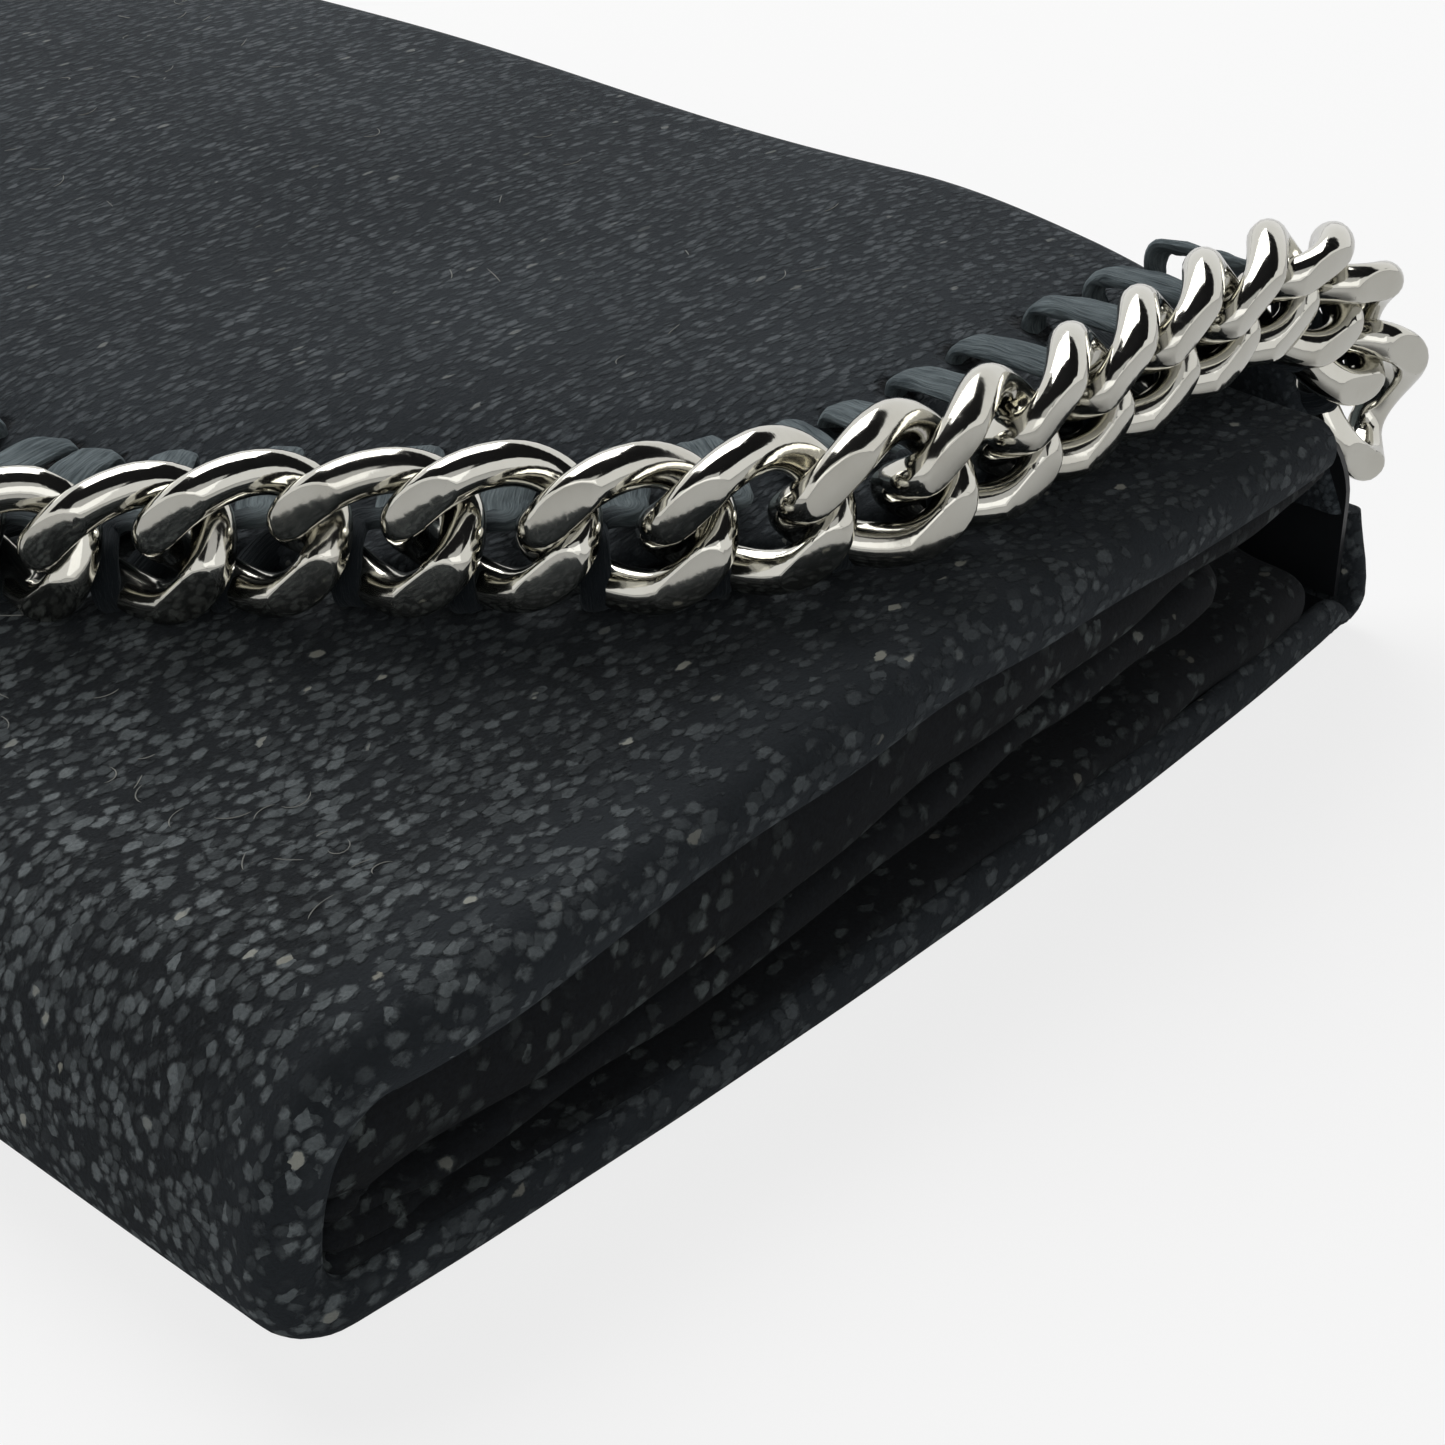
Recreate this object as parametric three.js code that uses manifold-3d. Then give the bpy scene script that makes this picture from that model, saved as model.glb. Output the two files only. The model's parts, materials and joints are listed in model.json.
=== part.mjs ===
// A flap wallet whose flap has a curb chain laced along its border.
// Millimetres, +Z up. X runs along the wallet, the folded nose is at -Y, the spine at +Y.
// The wallet lies on its back panel with the flap on top and closed.
import * as THREE from 'three';
import { mergeVertices } from 'three/addons/utils/BufferGeometryUtils.js';
import Module from 'manifold-3d';

const wasm = await Module();
wasm.setup();

// Driving dimensions of the body
const walletLength = 190;
const walletDepth = 100;
const noseHeight = 17;
const mouthHeight = 22.5;
const mouthInset = 12;
const coverThickness = 1.5;
const liningThickness = 0.5;
const layerGap = 0.3;

// Spine and flap
const spineThickness = 1.5;
const creaseClearance = 0.15;
const creaseHeight = 17;
const flapThickness = 1.6;
const flapClearance = 2.3;
const flapFrontInset = 25.35;
const flapFoldRadius = 6;
const flapCornerRadius = 39.35;
const boardThickness = 0.5;
const borderWidth = 12;

// Bellows gussets
const gussetThickness = 0.9;
const gussetEndInset = 2.2;
const pleatDepth = 11;
const pleatBendRadius = 1.1;

// Zip pocket in the middle
const pocketHollow = 4.3;
const pocketWall = 0.6;
const pocketEndInset = 11;
const pocketFlatHalfLength = 70;
const pocketEdgeHollow = 1.6;
const pocketMouthInset = 28;
const pocketFloorInset = 17;
const zipTapeWidth = 4;
const zipHalfLength = 75;
const zipToothPitch = 4.2;
const zipToothLength = 1.5;
const zipToothWidth = 2.4;
const zipSpineWidth = 0.7;
const sliderLength = 7;
const sliderDepth = 5;
const sliderWall = 0.8;
const sliderRest = 62;
const pullerLength = 12;
const pullerWidth = 3;
const pullerThickness = 0.8;
const pinRadius = 0.6;

// Card leaves and slip pocket
const leafThickness = 0.5;
const leafDepth = 8.4;
const leafHalfLength = 68;
const leafTilt = 0.35;
const slipPocketDepth = 34;
const thumbNotchRadius = 11;

// Snap
const snapRadius = 6;
const snapNubRadius = 1.9;
const snapBoreRadius = 2.5;
const snapBaseThickness = 0.4;
const snapNubHeight = 1.1;
const snapSocketThickness = 1;
const snapInset = 16;

// Curb chain and the lace that holds it
const linkPitch = 6.9;
const wireThickness = 2.6;
const linkWidth = 9.8;
const linkTwist = THREE.MathUtils.degToRad(38);
const linkPlay = 0.2;
const facetHalfHeight = 2.3;
const pairStretch = 0.9;
const chainStandoff = 2.65;
const chainLift = 3.8;
const chainLean = THREE.MathUtils.degToRad(12);
const chainTurnRadius = 17;
const chainTurnInset = 9;
const chainTurnAngle = THREE.MathUtils.degToRad(46);
const laceInset = 9.2;
const laceWidth = 3;
const laceThickness = 1.1;
const laceWindowWidth = 0.75;
const laceLinkGap = 0.5;
const laceGap = 0.35;
const slotMargin = 0.35;
const cutOverrun = 2;

// Places worked out from the driving dimensions
const halfLength = walletLength / 2;
const noseY = -walletDepth / 2;
const spineY = walletDepth / 2 - spineThickness / 2;
const mouthY = walletDepth / 2 - mouthInset;
const noseRadius = noseHeight / 2;
const noseCentreY = noseY + noseRadius;
const creaseGap = spineThickness / 2 + creaseClearance;
const liningInset = coverThickness + layerGap + liningThickness;
const pocketHalfLength = halfLength - pocketEndInset;
const flapHalf = halfLength - gussetEndInset - chainStandoff - spineThickness;
const flapFrontY = noseY + flapFrontInset;
const flapUnder = flapClearance + flapThickness / 2;
const flapTopMid = mouthHeight + flapUnder;
const foldCentreY = spineY - flapFoldRadius;
const foldCentreZ = flapTopMid - flapFoldRadius;
const chainHalf = flapHalf + chainStandoff;
const chainCornerRadius = flapCornerRadius + chainStandoff;

const suede = new THREE.MeshStandardMaterial({ color: 0x24272d, roughness: 0.95, metalness: 0 });
const lining = new THREE.MeshStandardMaterial({ color: 0x17181b, roughness: 0.45, metalness: 0 });
const board = new THREE.MeshStandardMaterial({ color: 0x6d6a62, roughness: 0.9, metalness: 0 });
const laceFabric = new THREE.MeshStandardMaterial({ color: 0x5d676d, roughness: 0.95, metalness: 0 });
const nickel = new THREE.MeshStandardMaterial({ color: 0xc9c8c2, roughness: 0.12, metalness: 1 });
const tapeFabric = new THREE.MeshStandardMaterial({ color: 0x1b1c20, roughness: 0.85, metalness: 0 });

const wallet = new THREE.Group();

function addPart(name, geometry, material) {
  const mesh = new THREE.Mesh(geometry, material);
  mesh.name = name;
  wallet.add(mesh);
  return mesh;
}

function toManifold(geometry) {
  const bare = geometry.clone();
  for (const key of Object.keys(bare.attributes)) {
    if (key !== 'position') bare.deleteAttribute(key);
  }
  const merged = mergeVertices(bare, 1e-5);
  return new wasm.Manifold(new wasm.Mesh({
    numProp: 3,
    vertProperties: new Float32Array(merged.attributes.position.array),
    triVerts: new Uint32Array(merged.index.array),
  }));
}

function toGeometry(solid) {
  const mesh = solid.getMesh();
  const geometry = new THREE.BufferGeometry();
  geometry.setAttribute('position', new THREE.BufferAttribute(mesh.vertProperties, 3));
  geometry.setIndex(new THREE.BufferAttribute(mesh.triVerts, 1));
  geometry.computeVertexNormals();
  return geometry;
}

// Closed solid between two grids of points with the same rows and columns
function gridSolid(rowCount, columnCount, upperPoint, lowerPoint) {
  const positions = [];
  const indices = [];
  for (const pointAt of [upperPoint, lowerPoint]) {
    for (let row = 0; row < rowCount; row += 1) {
      for (let column = 0; column < columnCount; column += 1) {
        const point = pointAt(row, column);
        positions.push(point.x, point.y, point.z);
      }
    }
  }
  const layer = rowCount * columnCount;
  const at = (side, row, column) => side * layer + row * columnCount + column;
  const quad = (a, b, c, d) => indices.push(a, b, c, a, c, d);
  for (let row = 0; row + 1 < rowCount; row += 1) {
    for (let column = 0; column + 1 < columnCount; column += 1) {
      quad(at(0, row, column), at(0, row, column + 1),
        at(0, row + 1, column + 1), at(0, row + 1, column));
      quad(at(1, row, column), at(1, row + 1, column),
        at(1, row + 1, column + 1), at(1, row, column + 1));
    }
  }
  const last = { row: rowCount - 1, column: columnCount - 1 };
  for (let row = 0; row + 1 < rowCount; row += 1) {
    quad(at(0, row, 0), at(0, row + 1, 0), at(1, row + 1, 0), at(1, row, 0));
    quad(at(0, row + 1, last.column), at(0, row, last.column),
      at(1, row, last.column), at(1, row + 1, last.column));
  }
  for (let column = 0; column + 1 < columnCount; column += 1) {
    quad(at(0, 0, column + 1), at(0, 0, column), at(1, 0, column), at(1, 0, column + 1));
    quad(at(0, last.row, column), at(0, last.row, column + 1),
      at(1, last.row, column + 1), at(1, last.row, column));
  }
  const geometry = new THREE.BufferGeometry();
  geometry.setAttribute('position', new THREE.Float32BufferAttribute(positions, 3));
  geometry.setIndex(indices);
  geometry.computeVertexNormals();
  return geometry;
}

// Outline in the Y-Z plane, carried along X
const profileBasis = new THREE.Matrix4().makeBasis(
  new THREE.Vector3(0, 1, 0), new THREE.Vector3(0, 0, 1), new THREE.Vector3(1, 0, 0));

function profileSolid(points, halfSpan) {
  const geometry = new THREE.ExtrudeGeometry(new THREE.Shape(points), {
    depth: 2 * halfSpan, bevelEnabled: false, steps: 1,
  });
  geometry.translate(0, 0, -halfSpan);
  geometry.applyMatrix4(profileBasis);
  return geometry;
}

// Outer face of the front panel: it rises from the nose to the mouth
function frontHeight(y) {
  const share = THREE.MathUtils.clamp((y - noseCentreY) / (mouthY - noseCentreY), 0, 1);
  return noseHeight + (mouthHeight - noseHeight) * Math.sin(share * Math.PI / 2);
}

function middleHeight(y) {
  return frontHeight(y) / 2;
}

const frontStations = 7;
const noseSteps = 10;

// One layer of the body: back panel, turn round the nose, front panel
function bodyLayer(inset, thickness, rearY, frontEdgeY) {
  const points = [];
  const layerPath = (depth, sign) => {
    const path = [new THREE.Vector2(rearY, depth)];
    for (let step = 0; step <= noseSteps; step += 1) {
      const angle = -Math.PI / 2 - Math.PI * step / noseSteps;
      path.push(new THREE.Vector2(
        noseCentreY + (noseRadius - depth) * Math.cos(angle),
        noseRadius + (noseRadius - depth) * Math.sin(angle)));
    }
    for (let step = 1; step <= frontStations; step += 1) {
      const y = noseCentreY + (frontEdgeY - noseCentreY) * step / frontStations;
      path.push(new THREE.Vector2(y, frontHeight(y) - depth));
    }
    return sign > 0 ? path : path.reverse();
  };
  points.push(...layerPath(inset, 1), ...layerPath(inset + thickness, -1));
  return points.reverse();
}

addPart('body_cover',
  profileSolid(bodyLayer(0, coverThickness, spineY - layerGap, mouthY), halfLength), suede);
addPart('body_lining',
  profileSolid(bodyLayer(coverThickness + layerGap, liningThickness,
    spineY - spineThickness - layerGap, mouthY - liningThickness),
  halfLength - coverThickness), lining);

// Upright plate with rounded upper corners, facing along Y
function uprightPlate(halfSpan, fromZ, toZ, cornerRadius, innerY, thickness) {
  const outline = new THREE.Shape();
  outline.moveTo(-halfSpan, fromZ);
  outline.lineTo(halfSpan, fromZ);
  outline.lineTo(halfSpan, toZ - cornerRadius);
  outline.absarc(halfSpan - cornerRadius, toZ - cornerRadius, cornerRadius, 0, Math.PI / 2);
  outline.absarc(-halfSpan + cornerRadius, toZ - cornerRadius, cornerRadius,
    Math.PI / 2, Math.PI);
  const geometry = new THREE.ExtrudeGeometry(outline, {
    depth: thickness, bevelEnabled: false, curveSegments: 6,
  });
  geometry.rotateX(Math.PI / 2);
  geometry.translate(0, innerY + thickness, 0);
  return geometry;
}

const spineBottom = coverThickness + layerGap;
const spineTop = creaseHeight - creaseGap;
addPart('spine_cover', uprightPlate(halfLength, spineBottom, spineTop,
  halfLength - flapHalf, spineY - spineThickness / 2, spineThickness), suede);
addPart('spine_lining', uprightPlate(halfLength - coverThickness, liningInset + layerGap, spineTop,
  halfLength - flapHalf, spineY - spineThickness / 2 - layerGap - liningThickness,
  liningThickness), lining);

// The flap is a bent sheet. Its middle surface follows this profile from its front edge,
// over the front panel, round the fold and down to the crease.
const flapProfile = new THREE.Path();
const flapStations = 8;
flapProfile.moveTo(flapFrontY, frontHeight(flapFrontY) + flapUnder);
for (let step = 1; step <= flapStations; step += 1) {
  const y = flapFrontY + (foldCentreY - flapFrontY) * step / flapStations;
  flapProfile.lineTo(y, frontHeight(y) + flapUnder);
}
flapProfile.absarc(foldCentreY, foldCentreZ, flapFoldRadius, Math.PI / 2, 0, true);
flapProfile.lineTo(spineY, creaseHeight + creaseGap);
const flapProfileLength = flapProfile.getLength();
const flatLength = flapProfileLength - flapFoldRadius * Math.PI / 2
  - (foldCentreZ - creaseHeight - creaseGap);

// Places a point of the flat pattern: x across, q from the front edge, h above the middle surface
function bend(x, q, h) {
  const share = THREE.MathUtils.clamp(q / flapProfileLength, 0, 1);
  const point = flapProfile.getPoint(share);
  const tangent = flapProfile.getTangent(THREE.MathUtils.clamp(share, 0.001, 0.999));
  const beyond = Math.min(q, 0);
  return new THREE.Vector3(x,
    point.x + tangent.x * beyond - tangent.y * h,
    point.y + tangent.y * beyond + tangent.x * h);
}

function flapHalfWidth(q, inset) {
  const radius = flapCornerRadius - inset;
  const rise = THREE.MathUtils.clamp(radius - (q - inset), 0, radius);
  return flapHalf - flapCornerRadius + Math.sqrt(radius * radius - rise * rise);
}

function flapRows(inset, endQ) {
  const cornerSteps = 7;
  const flatSteps = 4;
  const foldSteps = 6;
  const radius = flapCornerRadius - inset;
  const rows = [];
  for (let step = 0; step <= cornerSteps; step += 1) {
    rows.push(inset + radius * (1 - Math.cos(Math.PI / 2 * step / cornerSteps)));
  }
  const flatEnd = Math.min(flatLength, endQ);
  for (let step = 1; step <= flatSteps; step += 1) {
    rows.push(flapCornerRadius + (flatEnd - flapCornerRadius) * step / flatSteps);
  }
  if (endQ > flatLength) {
    for (let step = 1; step <= foldSteps; step += 1) {
      rows.push(flatLength + flapFoldRadius * Math.PI / 2 * step / foldSteps);
    }
    rows.push(endQ);
  }
  return rows;
}

function flapLayer(inset, upper, lower, endQ) {
  const rows = flapRows(inset, endQ);
  const pointAt = (height) => (row, column) => bend(
    (2 * column - 1) * flapHalfWidth(rows[row], inset), rows[row], height);
  return gridSolid(rows.length, 2, pointAt(upper), pointAt(lower));
}

// Path of the chain's middle line, from the rear right end round the front to the rear left end
function chainPoints() {
  const points = [];
  const sideHeight = flapTopMid + chainLift;
  const turnY = walletDepth / 2 - chainTurnInset;
  const turnSteps = 8;
  const cornerSteps = 16;
  const straightSteps = 8;
  const height = (y) => frontHeight(Math.max(y, flapFrontY)) + flapUnder + chainLift;
  for (let step = 0; step < turnSteps; step += 1) {
    const angle = chainTurnAngle * (1 - step / turnSteps);
    points.push(new THREE.Vector3(chainHalf,
      turnY + chainTurnRadius * Math.sin(angle),
      sideHeight - chainTurnRadius * (1 - Math.cos(angle))));
  }
  const cornerY = flapFrontY + flapCornerRadius;
  for (let step = 0; step < straightSteps; step += 1) {
    const y = turnY + (cornerY - turnY) * step / straightSteps;
    points.push(new THREE.Vector3(chainHalf, y, height(y)));
  }
  for (let step = 0; step <= cornerSteps; step += 1) {
    const angle = Math.PI / 2 * step / cornerSteps;
    const y = cornerY - chainCornerRadius * Math.sin(angle);
    points.push(new THREE.Vector3(
      flapHalf - flapCornerRadius + chainCornerRadius * Math.cos(angle), y, height(y)));
  }
  const mirrored = points.map((point) => new THREE.Vector3(-point.x, point.y, point.z)).reverse();
  const frontPoints = [];
  const frontEnd = points[points.length - 1];
  for (let step = 1; step < straightSteps; step += 1) {
    frontPoints.push(new THREE.Vector3(frontEnd.x * (1 - 2 * step / straightSteps),
      frontEnd.y, frontEnd.z));
  }
  return [...points, ...frontPoints, ...mirrored];
}

const chainCurve = new THREE.CatmullRomCurve3(chainPoints(), false, 'centripetal');
chainCurve.arcLengthDivisions = 4000;
const chainLength = chainCurve.getLength();
const pairCount = Math.round((chainLength / linkPitch + 1) / 2);
const linkCount = 2 * pairCount;

// Frame of the chain at a distance along it: along, across (downward) and facing outward
function chainFrame(distance) {
  const share = distance / chainLength;
  const centre = chainCurve.getPointAt(share);
  const along = chainCurve.getTangentAt(share);
  const outward = new THREE.Vector3(0, 0, 1).cross(along).normalize();
  const level = outward.clone().cross(along).normalize();
  const facing = outward.clone().multiplyScalar(Math.cos(chainLean))
    .addScaledVector(level, -Math.sin(chainLean));
  const across = facing.clone().cross(along).normalize();
  return { centre, along, across, facing, outward };
}

// The pitch is shorter between pairs and longer inside a pair, where the two links bear on each other
const meanPitch = chainLength / (linkCount - 1);
function linkDistance(index) {
  const shift = index % 2 === 0 ? -pairStretch / 4 : pairStretch / 4;
  return THREE.MathUtils.clamp(index * meanPitch + shift, 0, chainLength);
}

const linkFrames = [];
for (let index = 0; index < linkCount; index += 1) {
  linkFrames.push(chainFrame(linkDistance(index)));
}

// Curb link: an oval of round wire, twisted along its length and ground flat on both faces
function curbLink() {
  const steps = 10;
  const sides = 6;
  const roundnessShare = 2 / 2.4;
  const halfSpan = (meanPitch + wireThickness + linkPlay) / 2;
  const halfWidth = (linkWidth - wireThickness) / 2;
  const wireRadius = wireThickness / 2;
  const centreAt = (angle) => {
    const c = Math.cos(angle);
    const s = Math.sin(angle);
    const along = halfSpan * Math.sign(c) * Math.abs(c) ** roundnessShare;
    const across = halfWidth * Math.sign(s) * Math.abs(s) ** roundnessShare;
    const turn = linkTwist * THREE.MathUtils.clamp(along / (meanPitch / 2), -1.3, 1.3);
    return new THREE.Vector3(along, across * Math.cos(turn), -across * Math.sin(turn));
  };
  const positions = [];
  const indices = [];
  const middle = new THREE.Vector3();
  for (let step = 0; step < steps; step += 1) {
    const angle = 2 * Math.PI * (step + 0.5) / steps;
    const centre = centreAt(angle);
    const tangent = centreAt(angle + 0.01).sub(centreAt(angle - 0.01)).normalize();
    const radial = centre.clone().sub(middle);
    radial.addScaledVector(tangent, -radial.dot(tangent)).normalize();
    const side = tangent.clone().cross(radial);
    for (let corner = 0; corner < sides; corner += 1) {
      const turn = 2 * Math.PI * (corner + 0.5) / sides;
      const point = centre.clone()
        .addScaledVector(radial, wireRadius * Math.cos(turn))
        .addScaledVector(side, wireRadius * Math.sin(turn));
      positions.push(point.x, point.y, point.z);
    }
  }
  for (let step = 0; step < steps; step += 1) {
    for (let corner = 0; corner < sides; corner += 1) {
      const next = (step + 1) % steps;
      const turned = (corner + 1) % sides;
      const a = step * sides + corner;
      const b = step * sides + turned;
      const c = next * sides + turned;
      const d = next * sides + corner;
      indices.push(a, b, c, a, c, d);
    }
  }
  const geometry = new THREE.BufferGeometry();
  geometry.setAttribute('position', new THREE.Float32BufferAttribute(positions, 3));
  geometry.setIndex(indices);
  const slab = new THREE.BoxGeometry(2 * linkWidth + linkPitch, 2 * linkWidth, 2 * facetHalfHeight);
  return toManifold(geometry).intersect(toManifold(slab));
}

const linkSolid = curbLink();

function placedLink(frame) {
  const matrix = new THREE.Matrix4().makeBasis(frame.along, frame.across, frame.facing)
    .setPosition(frame.centre);
  const geometry = toGeometry(linkSolid);
  geometry.applyMatrix4(matrix);
  return toManifold(geometry);
}

for (let pair = 0; pair < pairCount; pair += 1) {
  const joined = placedLink(linkFrames[2 * pair]).add(placedLink(linkFrames[2 * pair + 1]));
  addPart(`chain_pair_${String(pair + 1).padStart(2, '0')}`, toGeometry(joined), nickel);
}

// Foot of a link on the flap's flat pattern, with the outward and forward directions there
function flapFoot(frame) {
  const samples = 400;
  let nearest = Infinity;
  let foot = 0;
  for (let step = 0; step <= samples; step += 1) {
    const q = flapProfileLength * step / samples;
    const point = bend(0, q, 0);
    const distance = Math.hypot(point.y - frame.centre.y, point.z - frame.centre.z);
    if (distance < nearest) {
      nearest = distance;
      foot = q;
    }
  }
  const flatY = frame.centre.y - flapFrontY;
  if (flatY < flapCornerRadius) foot = flatY;
  return { x: frame.centre.x, q: foot, outX: frame.outward.x, outQ: frame.outward.y };
}

const linkFeet = linkFrames.map(flapFoot);

// Point beside a foot: n outward from the chain, s forward along it, h above the middle surface
function besideFoot(foot, n, s, h) {
  return bend(foot.x + foot.outX * n + foot.outQ * s, foot.q + foot.outQ * n - foot.outX * s, h);
}

const slotInset = chainStandoff + laceInset;
const slotShare = 0.7;
const bendShare = 0.8;
const leaveShare = 0.15;

function slotCutter(foot) {
  const length = laceWidth * slotShare + 2 * slotMargin;
  const width = laceThickness + 2 * slotMargin;
  const height = flapThickness + cutOverrun;
  const centre = besideFoot(foot, -slotInset, 0, 0);
  const up = besideFoot(foot, -slotInset, 0, height).sub(centre).normalize();
  const outward = besideFoot(foot, -slotInset + width, 0, 0).sub(centre).normalize();
  const along = outward.clone().cross(up).normalize();
  const across = up.clone().cross(along);
  const box = new THREE.BoxGeometry(length, width, height);
  box.applyMatrix4(new THREE.Matrix4().makeBasis(along, across, up).setPosition(centre));
  return toManifold(box);
}

let flapCover = toManifold(flapLayer(0, flapThickness / 2, -flapThickness / 2, flapProfileLength));
for (const foot of linkFeet) {
  flapCover = flapCover.subtract(slotCutter(foot));
}
addPart('flap_cover', toGeometry(flapCover), suede);

// Stiffener and lining under the flap, inside the row of slots
const boardTop = -flapThickness / 2 - layerGap;
const liningTop = boardTop - boardThickness - layerGap;
const snapQ = snapInset;
function snapHole(radius) {
  const centre = bend(0, snapQ, 0);
  const hole = new THREE.CylinderGeometry(radius, radius, noseHeight, 24);
  hole.rotateX(Math.PI / 2);
  hole.translate(centre.x, centre.y, centre.z);
  return toManifold(hole);
}

function linedLayer(top, thickness) {
  const layer = toManifold(flapLayer(borderWidth, top, top - thickness, flatLength));
  return toGeometry(layer.subtract(snapHole(snapRadius + layerGap)));
}

addPart('flap_board', linedLayer(boardTop, boardThickness), board);
addPart('flap_lining', linedLayer(liningTop, liningThickness), lining);

// Lace: a flat thong that comes up through a slot, crosses the border, goes through the link,
// round its lower side and back under the flap to the next slot
function laceStations(frame, foot, nextFoot) {
  const over = flapThickness / 2 + laceGap + laceThickness / 2;
  const linkPoint = (n, w) => frame.centre.clone()
    .addScaledVector(frame.facing, n).addScaledVector(frame.across, w);
  const wireCentre = (linkWidth - wireThickness) / 2;
  const round = wireThickness / 2 + laceLinkGap + laceThickness / 2;
  const wide = laceWidth / 2;
  const slim = laceWindowWidth / 2;
  const slot = wide * slotShare;
  const up = besideFoot(foot, -slotInset, 0, over).sub(besideFoot(foot, -slotInset, 0, -over));
  const outward = besideFoot(foot, -chainStandoff, 0, 0).sub(besideFoot(foot, -slotInset, 0, 0));
  up.normalize();
  outward.normalize();
  const station = (point, halfWidth) => ({ point, halfWidth, side: frame.along, thicken: 1 });
  const flapStation = (at, n, s, h, halfWidth) => ({
    ...station(besideFoot(at, n, s, h), halfWidth),
    side: besideFoot(at, n, s + halfWidth, h).sub(besideFoot(at, n, s - halfWidth, h)),
  });
  const corner = (h, turn) => ({
    ...flapStation(foot, -slotInset, 0, h, slot),
    forward: up.clone().addScaledVector(outward, turn).normalize(),
    thicken: Math.SQRT2,
  });
  const stations = [
    corner(-over, -1),
    corner(over, 1),
    flapStation(foot, -slotInset + laceInset / 4, 0, over + laceGap, wide),
    flapStation(foot, -chainStandoff - laceInset / 4, 0, over + laceGap, wide),
    station(linkPoint(-facetHalfHeight - laceThickness, wireCentre - round), slim),
    station(linkPoint(0, wireCentre - round), slim),
    station(linkPoint(round * bendShare, wireCentre - round * bendShare), slim),
    station(linkPoint(round, wireCentre), slim),
    station(linkPoint(round * bendShare, wireCentre + round * bendShare), slim),
    station(linkPoint(0, wireCentre + round), slim),
    flapStation(foot, -chainStandoff - laceThickness, linkPitch * leaveShare,
      -over - laceGap, slim),
  ];
  if (nextFoot) {
    stations.push(
      flapStation(nextFoot, -slotInset + laceInset / 3, -linkPitch * leaveShare, -over, slot));
  }
  return stations;
}

const sectionCorners = [[1, 1], [-1, 1], [-1, -1], [1, -1]];
const sides = sectionCorners.length;
const selfGapReach = 3 * laceWidth;
const selfGapSteps = 3;

// Least distance between stretches of one lace that are further apart along it than selfGapReach,
// measured between points on its four edges
function leastSelfGap(rows, positions) {
  const pointAt = (row, corner) => new THREE.Vector3().fromArray(positions, 3 * (row * sides + corner));
  const samples = [];
  let travelled = 0;
  for (let row = 0; row + 1 < rows.length; row += 1) {
    const stretch = rows[row].point.distanceTo(rows[row + 1].point);
    for (let step = 0; step < selfGapSteps; step += 1) {
      const share = step / selfGapSteps;
      for (let corner = 0; corner < sides; corner += 1) {
        const point = pointAt(row, corner).lerp(pointAt(row + 1, corner), share);
        samples.push({ at: travelled + stretch * share, point });
      }
    }
    travelled += stretch;
  }
  let least = Infinity;
  samples.forEach((first, index) => {
    for (const second of samples.slice(index + 1)) {
      if (second.at - first.at > selfGapReach) {
        least = Math.min(least, first.point.distanceTo(second.point));
      }
    }
  });
  return { least, travelled };
}

function laceSolid(name, fromLink, toLink) {
  const stations = [];
  for (let index = fromLink; index < toLink; index += 1) {
    const nextFoot = index + 1 < toLink ? linkFeet[index + 1] : null;
    stations.push(...laceStations(linkFrames[index], linkFeet[index], nextFoot));
  }
  const positions = [];
  const indices = [];
  for (let row = 0; row < stations.length; row += 1) {
    const before = stations[Math.max(row - 1, 0)].point;
    const after = stations[Math.min(row + 1, stations.length - 1)].point;
    const forward = stations[row].forward ?? after.clone().sub(before).normalize();
    const side = stations[row].side.clone();
    side.addScaledVector(forward, -side.dot(forward)).normalize();
    const normal = forward.clone().cross(side);
    for (const [across, through] of sectionCorners) {
      const point = stations[row].point.clone()
        .addScaledVector(side, stations[row].halfWidth * across)
        .addScaledVector(normal, laceThickness / 2 * stations[row].thicken * through);
      positions.push(point.x, point.y, point.z);
    }
  }
  for (let row = 0; row + 1 < stations.length; row += 1) {
    for (let corner = 0; corner < sides; corner += 1) {
      const turned = (corner + 1) % sides;
      const a = row * sides + corner;
      const b = row * sides + turned;
      indices.push(a, b, b + sides, a, b + sides, a + sides);
    }
  }
  const { least, travelled } = leastSelfGap(stations, positions);
  console.log(`${name}: ${travelled.toFixed(0)} mm long, least gap to itself ${least.toFixed(2)} mm`);
  const lastRow = (stations.length - 1) * sides;
  for (let corner = 1; corner + 1 < sides; corner += 1) {
    indices.push(0, corner + 1, corner);
    indices.push(lastRow, lastRow + corner, lastRow + corner + 1);
  }
  const geometry = new THREE.BufferGeometry();
  geometry.setAttribute('position', new THREE.Float32BufferAttribute(positions, 3));
  geometry.setIndex(indices);
  geometry.computeVertexNormals();
  return geometry;
}

const laceRuns = 3;
['lace_right', 'lace_front', 'lace_left'].forEach((name, run) => {
  const fromLink = Math.round(linkCount * run / laceRuns);
  const toLink = Math.round(linkCount * (run + 1) / laceRuns);
  addPart(name, laceSolid(name, fromLink, toLink), laceFabric);
});

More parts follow.
